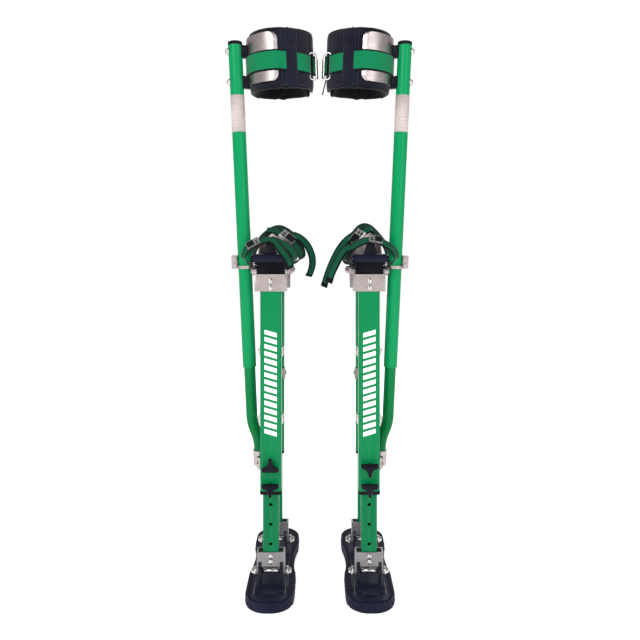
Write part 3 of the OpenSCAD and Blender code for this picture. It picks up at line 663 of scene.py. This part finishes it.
def strap_radius(angle):
    place = (degrees(angle) + 180) % 360
    low = int(place) % 360
    share = place - int(place)
    return strap_seats[low] * (1 - share) + strap_seats[(low + 1) % 360] * share


def thread(places, across):
    """One stitch through (angle, height) places on the pad, standing slightly proud."""
    path = [cuff_point(angle, surface_radius(angle, height) + 0.15 * MM, height)
            for angle, height in places]
    return wire(path, 0.4 * MM, THREAD, sides=5, across=across)


def stitch_row(angle):
    """Short raised threads up one seam of the pad."""
    shapes = []
    count = 26
    step = (pad_tall - 2 * rim_seam) / count
    for k in range(count):
        start = pad_low.z + rim_seam + step * k
        end = start + step * 0.62
        if abs((start + end) / 2 - strap_height(angle)) < strap_width / 2:
            continue
        places = [(angle, h) for h in (start, (start + end) / 2, end)]
        shapes.append(thread(places, Vector((0, 1, 0))))
    return shapes


def rim_stitches(height):
    """Short raised threads along the tape at one rim of the pad."""
    shapes = []
    for k in range(-56, 57):
        angle = radians(k * 2.9)
        if abs(angle) < band_reach + radians(6):
            continue
        places = [(angle + radians(turn), height) for turn in (0, 0.9, 1.8)]
        shapes.append(thread(places, leg_axis))
    return shapes


def panel_shape():
    """Upright padded strip, sewn to the pad above and below, that the strap passes under."""
    across_steps, tall = 14, 44
    outside, inside = [], []
    for k in range(tall + 1):
        t = k / tall
        height = pad_low.z + 4 * MM + (pad_tall - 8 * MM) * t
        over = exp(-((height - strap_height(panel_from)) / (strap_width * 0.66)) ** 8)
        end = sqrt(max(0.0, 1 - (2 * t - 1) ** 10))
        for i in range(across_steps + 1):
            s = i / across_steps
            angle = panel_from + (panel_to - panel_from) * s
            edge = sqrt(max(0.0, 1 - (2 * s - 1) ** 6))
            stitch = bump_at(min(s, 1 - s), 0.16, 0.06)
            resting = surface_radius(angle, height) - 0.6 * MM
            base = resting * (1 - over) + (strap_radius(angle) + strap_sheet + 0.4 * MM) * over
            outside.append(cuff_point(angle, base + (2.2 * edge * end - 0.7 * stitch) * MM, height))
            inside.append(cuff_point(angle, base - 0.2 * MM, height))
    size = across_steps + 1
    offset = len(outside)
    faces = []
    for k in range(tall):
        for i in range(across_steps):
            a = k * size + i
            faces.append((a, a + size, a + size + 1, a + 1))
            faces.append((offset + a, offset + a + 1, offset + a + size + 1, offset + a + size))
        for a, flip in ((k * size, False), (k * size + across_steps, True)):
            face = (a, offset + a, offset + a + size, a + size)
            faces.append(tuple(reversed(face)) if flip else face)
    for i in range(across_steps):
        faces.append((i, i + 1, offset + i + 1, offset + i))
        a = tall * size + i
        faces.append((a, offset + a, offset + a + 1, a + 1))
    return outside + inside, faces, KNIT, None


def calf_strap_shapes():
    """The strap from the ring round the toe side, the tube, the heel side and back through the ring."""
    steps = 220
    start, end = ring_angle + radians(6) - 2 * pi, ring_angle - radians(2)
    path, normals = [], []
    for i in range(steps + 1):
        angle = start + (end - start) * i / steps
        path.append(cuff_point(angle, strap_radius(angle) + strap_sheet / 2, strap_height(angle)))
        normals.append(cuff_outward(angle))
    return ribbon(path, normals, strap_width, strap_sheet, rim=3.0 * MM)


def strap_end_shapes(side):
    """The end that comes out through the ring and stands off the pad, with a dark stop at its tip."""
    start = ring_angle + radians(5)
    path, normals = [], []
    for i in range(21):
        t = i / 20
        angle = start + radians(19) * t
        lift = strap_sheet + (1.5 + 3.8 * sin(pi / 2 * t)) * MM
        path.append(cuff_point(angle, strap_radius(start) + lift, strap_height(start) - 2 * MM * t))
        normals.append(cuff_outward(angle))
    body = ribbon(path, normals, strap_width, strap_sheet, rim=5 * MM)
    tip = ribbon(path[-5:], normals[-5:], strap_width * 1.03, strap_sheet * 1.7, middle=BLACK_WEB)
    if side == "right":
        return [body, tip]
    top = strap_height(start) - strap_width / 2
    count = 6
    hang = [cuff_point(start, strap_radius(start) + (3 + 1.5 * k) * MM, top - (2 + 7 * k) * MM)
            for k in range(count)]
    tail = ribbon(hang, [cuff_outward(start)] * count, 6 * MM, 1.2 * MM, middle=BLACK_WEB, rim=1 * MM)
    return [body, tip, tail]


def ring_shapes():
    """Rectangular wire ring that the strap passes through."""
    loop = rounded_loop(13 * MM, strap_width + 12 * MM, 5 * MM)
    outward = cuff_outward(ring_angle)
    along = leg_axis.cross(outward).normalized()
    middle = cuff_point(ring_angle + radians(2), strap_radius(ring_angle) + 4.2 * MM,
                        strap_height(ring_angle) - 2 * MM)
    tilt = (along * 0.62 - outward * 0.78).normalized()
    path = [middle + tilt * a + leg_axis * b for a, b in loop]
    return [wire(path, 1.9 * MM, BRIGHT, closed=True, sides=12, across=along)]


to_cuff = Vector((-cos(pole_angle), -sin(pole_angle), 0))
to_side = Vector((-to_cuff.y, to_cuff.x, 0))
bolt_heights = (band_low.z + 8 * MM, band_low.z + 66 * MM)


def spacer_shapes():
    """Black plastic blocks that hug the leg tube and carry the band."""
    reach = cuff_centre.length - band_outer - 0.1 * MM
    waists = ((tube_radius - 4.5 * MM, -1.2), (tube_radius - 3.5 * MM, 0.0),
              ((tube_radius + reach) / 2, -1.2), (reach + 1.5 * MM, 0.0), (reach + 2.2 * MM, -0.8))
    shapes = []
    for height in bolt_heights:
        rings = []
        for along, grow in waists:
            loop = rounded_loop((20 + 2 * grow) * MM, (25 + 2 * grow) * MM, 4 * MM)
            rings.append([from_leg(to_cuff * along + to_side * a + Vector((0, 0, height + b)))
                          for a, b in loop])
        shapes.append(sweep(rings, False, PLASTIC))
    return shapes


def bolt_shapes():
    """Through bolts of the cuff: a domed head with a washer outboard, a low head inside the band."""
    outward = -to_cuff
    axis = (leg_rotation @ outward).normalized()
    shapes = []
    for height in bolt_heights:
        base = from_leg(outward * tube_radius + Vector((0, 0, height)))
        shapes.append(lathe(base, axis, ((-0.2, 7.4), (1.2, 7.4), (1.3, 5.6), (3.4, 5.6), (4.8, 4.6),
                                         (5.8, 2.8), (6.1, 0.6)), BRIGHT))
        inner = from_leg(to_cuff * (cuff_centre.length - pad_radius - 0.4 * MM) + Vector((0, 0, height)))
        shapes.append(lathe(inner, axis, ((-1.6, 1.0), (-1.2, 3.4), (0.2, 4.4), (20, 3.0)), BRIGHT))
    return shapes


def cap_shape():
    """Plastic plug in the top of the leg tube."""
    profile = ((-7.0, 0.05), (-6.9, 0.5), (-1.6, 0.55), (-0.6, 0.0), (0.1, -2.0), (0.45, -6.0),
               (0.5, -11.0))
    return lathe(from_leg((0, 0, tube_high.z)), leg_axis, profile, PLASTIC, 40, tube_radius)


def build_cuff(side):
    pad = make_piece("calf_pad_cover", side, "leg", [pad_shape])
    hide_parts(f"{side}_calf_pad")
    panel = make_piece("strap_loop_panel", side, "leg", [panel_shape()])
    stitches = rim_stitches(pad_low.z + rim_seam) + rim_stitches(pad_high.z - rim_seam)
    for angle in pad_seams:
        for shift in (-radians(3), radians(3)):
            stitches += stitch_row(angle + shift)
    make_piece("calf_pad_stitching", side, "leg", stitches)
    strap = make_piece("calf_strap_webbing", side, "leg", [calf_strap_shapes()])
    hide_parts(f"{side}_calf_strap")
    make_piece("calf_strap_end", side, "leg", strap_end_shapes(side))
    make_piece("cuff_spacers", side, "leg", spacer_shapes())
    bolts = make_piece("cuff_bolts_and_ring", side, "leg", bolt_shapes() + ring_shapes())
    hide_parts(f"{side}_calf_hardware")
    make_piece("leg_tube_cap", side, "leg", [cap_shape()])


# ---------- decals ----------

def tube_label(side):
    """Blank label wrapped round the leg tube below the cuff, with plain ruled lines."""
    top = pad_low.z - 1 * MM
    tall = 70 * MM
    sides = 48

    def hoop(radius, height):
        return [from_leg((radius * cos(a), radius * sin(a), height))
                for a in (2 * pi * k / sides for k in range(sides))]

    def sleeve(low, high, inner, outer, material):
        corners = ((low, inner), (low, outer), (high, outer), (high, inner))
        return sweep([hoop(tube_radius + grow * MM, level) for level, grow in corners], True, material)

    shapes = [sleeve(top - tall, top, 0.05, 0.2, PAPER)]
    line = 0.35 * MM
    for k in range(9):
        middle = top - (7 + 7 * k) * MM
        shapes.append(sleeve(middle - line, middle + line, 0.12, 0.26, PRINT))
    make_piece("leg_tube_label", side, "leg", shapes)


def strut_marking(side):
    """Row of slanted white bars down the front strut, where the real one carries lettering."""
    low, high = local_box("front_outer_tube")
    face = low.y - 0.12 * MM
    top = high.z - 98 * MM
    half, tall, step, slant = 12 * MM, 8.6 * MM, 13.6 * MM, 3.5 * MM
    shapes = []
    for k in range(15):
        z = top - k * step
        outline = [(-half, z - slant), (half, z + slant), (half, z + slant - tall),
                   (-half, z - slant - tall)]
        front = [Vector((x, face, height)) for x, height in outline]
        back = [Vector((x, face + 0.1 * MM, height)) for x, height in outline]
        faces = [(3, 2, 1, 0), (4, 5, 6, 7)] + [(i, (i + 1) % 4, 4 + (i + 1) % 4, 4 + i) for i in range(4)]
        shapes.append((front + back, faces, MARKING, None))
    make_piece("strut_marking", side, "front_post", shapes, smooth=False)


# ---------- lock knobs, rivets and pivots ----------

# Half of a knob's face in millimetres, from the middle of its bar round to the tip of its tail,
# and its section from the face back: depth, and share of the outline's size.
KNOB_OUTLINE = [(0, 7.6), (6, 7.9), (12, 8.0), (16.0, 7.4), (17.0, 4.4), (16.4, 0.6), (11.0, -1.6),
                (6.4, -5.0), (4.2, -9.5), (3.3, -13.8), (2.5, -17.2), (0, -18.4)]
KNOB_SECTION = ((0.0, 0.45), (0.4, 0.66), (1.3, 0.84), (3.0, 0.95), (5.5, 1.0), (8.2, 0.98), (9.2, 0.9))


def build_knob(side, part, body, turned):
    """Moulded knob: a cross bar with hollow flanks down to a blunt tail, on a round boss and a stud."""
    low, high = local_box(part)
    middle = Vector((0, low.y, high.z - 7 * MM))
    half = smooth_path([(x * MM, 0, z * MM) for x, z in KNOB_OUTLINE], 4)
    loop = half + [Vector((-q.x, 0, q.z)) for q in reversed(half[1:-1])]
    way = -1 if turned else 1
    rings = []
    for depth, scale in KNOB_SECTION:
        drop = (1 - scale) * 2 * MM
        rings.append([middle + Vector((way * q.x * scale, depth * MM, way * (q.z * scale - drop)))
                      for q in loop])
    stud_end = (high.y - low.y) / MM
    boss = lathe(middle, Vector((0, 1, 0)), ((8.6, 6.6), (9.2, 7.2), (13.2, 7.2), (13.6, 6.6), (13.65, 3.1),
                                             (stud_end, 3.1)), GLOSS, 28)
    knob = make_piece(part + "_grip", side, body, [sweep(rings, False, GLOSS), boss])
    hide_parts(f"{side}_{part}")


def build_pivots(side):
    """Domed rivets on the yokes, and at each foot pivot a bright sleeve and turned end caps."""
    toewards = Vector((0, -1, 0))
    dome = ((-1.2, 4.3), (-0.2, 4.8), (0.5, 4.4), (1.1, 3.2), (1.4, 1.0))
    cone = ((-3.0, 4.3), (-2.9, 8.4), (0, 8.4), (0.6, 7.4), (4.4, 4.9), (6.4, 4.4), (6.9, 3.4))
    for end in ("front", "rear"):
        low, high = local_box(end + "_foot_yoke")
        shapes = [lathe(Vector((0, low.y, low.z + z * MM)), toewards, dome, BRIGHT) for z in (32, 43)]
        pivot = Vector((0, 0, low.z + 10 * MM))
        pivot.y = centre(f"left_{end}_inner_tube").y
        sleeve = [pivot + Vector((x * MM, 0, 0)) for x in (-18.6, 0, 18.6)]
        shapes.append(wire(sleeve, 4.35 * MM, BRIGHT, sides=24))
        shapes.append(lathe(pivot + Vector((high.x - 2 * MM, 0, 0)), Vector((1, 0, 0)), cone, BRIGHT, 28))
        shapes.append(lathe(pivot + Vector((low.x + 5 * MM, 0, 0)), Vector((-1, 0, 0)), cone, BRIGHT, 28))
        make_piece(end + "_foot_pivot_fittings", side, end + "_shank", shapes)
        low, high = local_box(end + "_head_yoke")
        shapes = [lathe(Vector((0, low.y, high.z - z * MM)), toewards, dome, BRIGHT) for z in (29, 42)]
        make_piece(end + "_head_rivets", side, end + "_post", shapes)


# ---------- springs ----------

def build_springs(side):
    wire_radius = 1.5 * MM
    room = 0.3 * MM
    turns, per_turn = 6, 28
    closed_ends = 0.06
    for part, at_top in (("upper_spring", True), ("lower_spring", False)):
        low, high = local_box(part)
        middle = (low + high) / 2
        radius = (high.x - low.x) / 2 - wire_radius
        start = low.z + wire_radius + room
        tall = high.z - low.z - 2 * (wire_radius + room)
        path = []
        for i in range(turns * per_turn + 1):
            a = 2 * pi * i / per_turn
            t = i / (turns * per_turn)
            rise = min(max((t - closed_ends) / (1 - 2 * closed_ends), 0), 1)
            z = start + tall * (rise + t) / 2
            path.append((middle.x + radius * cos(a), middle.y + radius * sin(a), z))
        piece = make_piece(part + "_coil", side, "front_post",
                           [wire(path, wire_radius, SPRING, sides=10)])
        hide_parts(f"{side}_{part}")
        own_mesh(piece)


# ---------- foot plate and straps ----------

strap_box_low, strap_box_high = local_box("foot_straps")
plate_low, plate_high = local_box("foot_plate")
foot_web = 24 * MM
foot_sheet = 1.8 * MM
foot_rim = 3.4 * MM
deck_top = plate_low.z + 11 * MM
toe_y = strap_box_low.y + foot_web / 2
instep_y = strap_box_high.y - foot_web / 2

# Stations of the straps, in millimetres: outboard, towards the heel, and up from the foot plate.
# The right stilt's and the left stilt's straps lie differently, as straps that were just taken off do.
TOE_LOOP = [(30, 0, -5.8), (39, 0, -5), (47, -1, 1), (49, -1, 10), (41, -1, 23), (22, 0, 34), (2, 0, 38),
            (-18, 0, 34), (-37, -1, 22), (-46, -1, 9), (-46, -1, 1), (-39, 0, -5), (-30, 0, -5.8)]
INSTEP_LOOP = {
    "right": [(30, 0, -5.8), (38, 0, -5), (46, -1, 3), (45, -3, 17), (35, -7, 35), (20, -12, 52),
              (3, -16, 63), (-14, -17, 65), (-34, -15, 53), (-49, -11, 34), (-57, -8, 17), (-55, -5, 3),
              (-43, -2, -5), (-30, 0, -5.8)],
    "left": [(30, 0, -5.8), (38, 0, -5), (46, -2, 4), (47, -5, 18), (38, -8, 36), (22, -13, 55),
             (6, -16, 68), (-8, -16, 68), (-23, -14, 53), (-36, -10, 36), (-46, -8, 20), (-51, -6, 8),
             (-45, -3, -4), (-30, 0, -5.8)],
}
BUCKLE_RUN = {
    "right": [(16, -22, 61), (0, -26, 60), (-16, -30, 52), (-33, -32, 39), (-49, -28, 23), (-56, -20, 8)],
    "left": [(14, -22, 63), (4, -26, 62), (-9, -30, 53), (-21, -32, 40), (-33, -28, 24), (-43, -20, 10)],
}
TAILS = {
    "right": [(toe_y, [(0, -9, 40), (-10, -15, 35), (-20, -21, 22), (-31, -25, 8), (-38, -25, -4),
                       (-40, -21, -15)]),
              (instep_y, [(-38, -26, 52), (-52, -26, 46), (-65, -27, 35), (-74, -29, 20), (-79, -30, 4),
                          (-79, -30, -12), (-75, -28, -26), (-71, -26, -34)])],
    "left": [(instep_y, [(-24, -26, 52), (-38, -28, 42), (-51, -30, 28), (-63, -30, 8), (-74, -29, -16),
                         (-82, -28, -38), (-87, -26, -56)]),
             (toe_y, [(-38, -4, 24), (-48, -8, 20), (-56, -10, 10), (-64, -11, -5), (-72, -11, -22),
                      (-79, -10, -42)])],
}


def foot_path(stations, y, steps):
    """Smooth path through a strap's stations, from its place along the foot."""
    return smooth_path([(a * MM, y + b * MM, deck_top + c * MM) for a, b, c in stations], steps)


def foot_ribbon(path, normals, share, middle):
    """Webbing with a share of the foot straps' full width."""
    return ribbon(path, normals, foot_web * share, foot_sheet, middle=middle, rim=foot_rim)


def strap_run(stations, y, steps=7):
    """Path and facing of a strap: away from the foot, turned towards the toes above the plate."""
    path = foot_path(stations, y, steps)
    normals = []
    for point in path:
        away = Vector((point.x, 0, point.z - deck_top - 8 * MM)).normalized()
        turn = 0.85 * smooth_step(point.z, deck_top - 4 * MM, deck_top + 10 * MM)
        normals.append((away + Vector((0, -turn, 0))).normalized())
    return path, normals


def strap_tail(stations, y):
    """A hanging end: its face turns slowly from the toes towards inboard, and the tip has a dark stop."""
    path = foot_path(stations, y, 9)
    count = len(path)
    normals = [Vector((-0.25 - 0.55 * i / count, -0.8, 0.45 * (1 - i / count))) for i in range(count)]
    body = foot_ribbon(path, normals, 0.72, MID_WEB)
    tip = ribbon(path[-5:], normals[-5:], foot_web * 0.76, foot_sheet * 1.6, middle=BLACK_WEB)
    return [body, tip]


def cam_buckle(at, along, up, size=1.0):
    """Pressed buckle: a perforated plate with side walls, a toothed cam lever and its pin."""
    along = along.normalized()
    up = (up - along * up.dot(along)).normalized()
    wide = along.cross(up)
    unit = size * MM
    shapes = []

    def block(a, b, c, half_a, half_b, half_c, material=SATIN):
        corner = 0.8 * min(1.0, half_a, half_b)
        loop = rounded_loop(2 * half_a * unit, 2 * half_b * unit, corner * unit, 3)
        middle = at + along * a * unit + wide * b * unit
        levels = ((-half_c, 0.94), (-half_c * 0.6, 1), (half_c * 0.6, 1), (half_c, 0.94))
        rings = [[middle + (along * x + wide * y) * shrink + up * (c + level) * unit for x, y in loop]
                 for level, shrink in levels]
        shapes.append(sweep(rings, False, material))

    for edge in (-1, 1):
        block(0, edge * 12.6, 4.0, 20, 0.9, 3.4)
        block(0, edge * 10.8, 2.4, 19, 1.4, 0.6)
    for a in (-18, -6, 18):
        block(a, 0, 2.5, 2.2, 12.4, 0.6)
    block(-12, 0, 2.5, 5.5, 1.8, 0.55)
    block(10, 0, 7.4, 8, 10.4, 0.8, PLASTIC)
    block(-1, 0, 6.4, 2.6, 11.2, 2.0, PLASTIC)
    block(-9, 0, 4.4, 7.5, 1.3, 0.7)
    pin = [at + wide * (b * unit) - along * (3 * unit) + up * (6 * unit) for b in (-14.6, 0, 14.6)]
    shapes.append(wire(pin, 1.5 * unit, PLATED, sides=12, across=up))
    return shapes


def toe_keeper():
    """Tapered plastic keeper from the toe bar up to the toe strap."""
    stages = ((0, 14, 1.2), (0.06, 15, 2.2), (0.35, 11.5, 2.4), (0.8, 8, 2.2), (1.0, 7.5, 1.4))
    rings = []
    for t, half, thick in stages:
        y = toe_y - (9 - 5 * t) * MM
        z = deck_top + (9 + 25 * t) * MM
        loop = rounded_loop(2 * half * MM, 2 * thick * MM, 1.1 * MM, 4)
        rings.append([Vector((a, y + b, z)) for a, b in loop])
    return sweep(rings, False, PLASTIC)


def mat_ribs():
    """Grip ribs along the mat of the foot plate."""
    top = deck_top + 3.05 * MM
    front, back = plate_low.y + 32 * MM, plate_high.y - 36 * MM
    shapes = []
    for k in range(-6, 7):
        x = k * 4.2 * MM
        trim = 9 * MM * (abs(k) / 6) ** 3
        rings = []
        for y, grow in ((front + trim, 0.3), (front + trim + 1 * MM, 1.0), (back - trim - 1 * MM, 1.0),
                        (back - trim, 0.3)):
            profile = [(-1.1, -0.3), (-1.0, 0.3), (-0.5, 0.9), (0.5, 0.9), (1.0, 0.3), (1.1, -0.3)]
            rings.append([Vector((x + a * MM, y, top + b * grow * MM)) for a, b in reversed(profile)])
        shapes.append(sweep(rings, False, RUBBER))
    return shapes


def buckle_at(path, normals, share, size, way=1):
    """A buckle on a strap, a share of the way along it."""
    seat = int(len(path) * share)
    along = (path[seat + 1] - path[seat - 1]) * way
    return cam_buckle(path[seat] + normals[seat] * MM, along, normals[seat], size)


def build_foot_straps(side):
    path, normals = strap_run(TOE_LOOP, toe_y)
    shapes = [foot_ribbon(path, normals, 0.86, MID_WEB)]
    buckles = buckle_at(path, normals, 0.38 if side == "right" else 0.47, 0.66, -1)
    path, normals = strap_run(INSTEP_LOOP[side], instep_y)
    shapes.append(foot_ribbon(path, normals, 0.92, DARK_WEB))
    path, normals = strap_run(BUCKLE_RUN[side], instep_y, 8)
    shapes.append(foot_ribbon(path, normals, 0.8, MID_WEB))
    buckles += buckle_at(path, normals, 0.52, 0.82)
    for y, stations in TAILS[side]:
        shapes += strap_tail(stations, y)
    strap = make_piece("foot_strap_webbing", side, "deck", shapes)
    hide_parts(f"{side}_foot_straps")
    buckle = make_piece("cam_buckles", side, "deck", buckles, smooth=False)
    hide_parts(f"{side}_strap_buckles")
    make_piece("toe_strap_keeper", side, "deck", [toe_keeper()])
    make_piece("foot_mat_ribs", side, "deck", mat_ribs())


# ---------- sole ----------

def sole_outline(inset, count=140):
    """The sole's outline in (x, y), moved inwards, read from the top of the CAD sole."""
    mesh = nodes["left_sole"].data
    low, high = local_box("sole")
    flat = {(round(v.co.x - stilt_x, 5), round(v.co.y, 5)) for v in mesh.vertices
            if v.co.z > high.z - 0.1 * MM}
    hub = Vector(((low.x + high.x) / 2, (low.y + high.y) / 2))
    ends = (high.y - low.y) / 2 - 40 * MM
    rim = [Vector(q) for q in flat if abs(q[0]) > 30 * MM or abs(q[1] - hub.y) > ends]
    rim = [q for q in rim if (q - hub).length > 38 * MM]
    rim.sort(key=lambda q: atan2(q.y - hub.y, q.x - hub.x))
    lengths = [0.0]
    for a, b in zip(rim, rim[1:] + rim[:1]):
        lengths.append(lengths[-1] + (b - a).length)
    loop = []
    index = 0
    for k in range(count):
        want = lengths[-1] * k / count
        while lengths[index + 1] < want:
            index += 1
        share = (want - lengths[index]) / max(lengths[index + 1] - lengths[index], 1e-9)
        loop.append(rim[index].lerp(rim[(index + 1) % len(rim)], share))
    moved = []
    for i, q in enumerate(loop):
        ahead = loop[(i + 1) % count] - loop[i - 1]
        moved.append(q + Vector((-ahead.y, ahead.x)).normalized() * inset)
    return moved


def build_sole(side):
    """Raised lip round the top of the sole, and a foxing line and grip bars round its edge."""
    low, high = local_box("sole")
    lip = [Vector((q.x, q.y, high.z - 0.3 * MM)) for q in sole_outline(5.0 * MM)]
    line = [Vector((q.x, q.y, high.z - 5.2 * MM)) for q in sole_outline(0.15 * MM)]
    shapes = [wire(lip, 1.9 * MM, RUBBER, closed=True, sides=12),
              wire(line, 0.9 * MM, RUBBER, closed=True, sides=8)]
    outline = sole_outline(0.1 * MM, 110)
    for q in outline:
        foot = [Vector((q.x, q.y, low.z + z * MM)) for z in (4.0, 6.5, 9.0)]
        shapes.append(wire(foot, 1.2 * MM, RUBBER, sides=6, across=Vector((0, 1, 0))))
    make_piece("sole_rim", side, "base", shapes)
    floor_low = local_box("floor_plate")[0]
    plate_z = high.z + 3 * MM
    bars = []
    for y, half in ((9, 22), (15, 26), (40, 26)):
        bar = [Vector((x * MM, floor_low.y + y * MM, plate_z + 0.1 * MM))
               for x in (-half, -half / 2, 0, half / 2, half)]
        bars.append(wire(bar, 0.9 * MM, BLACK_PAINT, sides=8))
    for x in (-29, 29):
        bar = [Vector((x * MM, floor_low.y + y * MM, plate_z + 0.1 * MM)) for y in (20, 30, 40, 50, 60)]
        bars.append(wire(bar, 0.9 * MM, DARK_STEEL, sides=8))
    make_piece("floor_plate_beads", side, "base", bars)


# ---------- floor, light and camera ----------

def set_stage():
    low, high = cad_box
    reach = 14
    corners = [(-reach, -reach, 0), (reach, -reach, 0), (reach, reach, 0), (-reach, reach, 0)]
    floor = add_object("floor", new_mesh("floor", corners, [(0, 1, 2, 3)]))
    material, tree, shader = new_material("pale_floor", (0.93, 0.93, 0.93), 0.9)
    set_inputs(tree, shader, {"Emission Color": WHITE, "Emission Strength": 0.62})
    floor.data.materials.append(material)
    floor.location.z = low[2] - 0.2 * MM
    bpy.context.scene.view_settings.view_transform = "Standard"
    world = bpy.data.worlds.new("studio")
    bpy.context.scene.world = world
    world.use_nodes = True
    tree = world.node_tree
    seen = tree.nodes["Background"]
    set_inputs(tree, seen, {"Color": WHITE, "Strength": 1.0})
    lit = add_node(tree, "Background", {"Color": WHITE, "Strength": 0.42})
    seen_directly = add_node(tree, "LightPath").outputs["Is Camera Ray"]
    mix = add_node(tree, "MixShader", {0: seen_directly, 1: lit.outputs[0], 2: seen.outputs[0]})
    set_inputs(tree, tree.nodes["World Output"], {"Surface": mix.outputs[0]})
    lamps = (("key", (-1.3, -2.6, 2.0), 1.3, 40), ("fill", (1.7, -2.2, 1.3), 1.6, 18),
             ("back", (0.4, 2.2, 2.3), 1.6, 22))
    for name, place, size, power in lamps:
        data = bpy.data.lights.new(name, "AREA")
        data.size = size
        data.energy = power
        light = add_object(name, data)
        light.location = place
        aim = Vector((0, 0, high[2] / 2)) - Vector(place)
        light.rotation_euler = aim.to_track_quat("-Z", "Y").to_euler()


def set_camera():
    """Close and level, at the height of the foot plates, facing the toes."""
    data = bpy.data.cameras.new("camera")
    data.lens = 34.2
    data.sensor_width = 36
    data.shift_y = -0.1016
    before_struts = 1.182
    height = 0.655
    camera = add_object("camera", data)
    camera.location = (0, centre("left_front_outer_tube").y - before_struts, height)
    camera.rotation_euler = (radians(90), 0, 0)
    bpy.context.scene.camera = camera


set_stage()
set_camera()
dress_cad_nodes()
for side in SIDES:
    build_cuff(side)
    build_foot_straps(side)
    build_sole(side)
    build_springs(side)
    tube_label(side)
    strut_marking(side)
    build_knob(side, "upper_knob", "upper_lock", side == "right")
    build_knob(side, "lower_knob", "lower_lock", False)
    build_pivots(side)
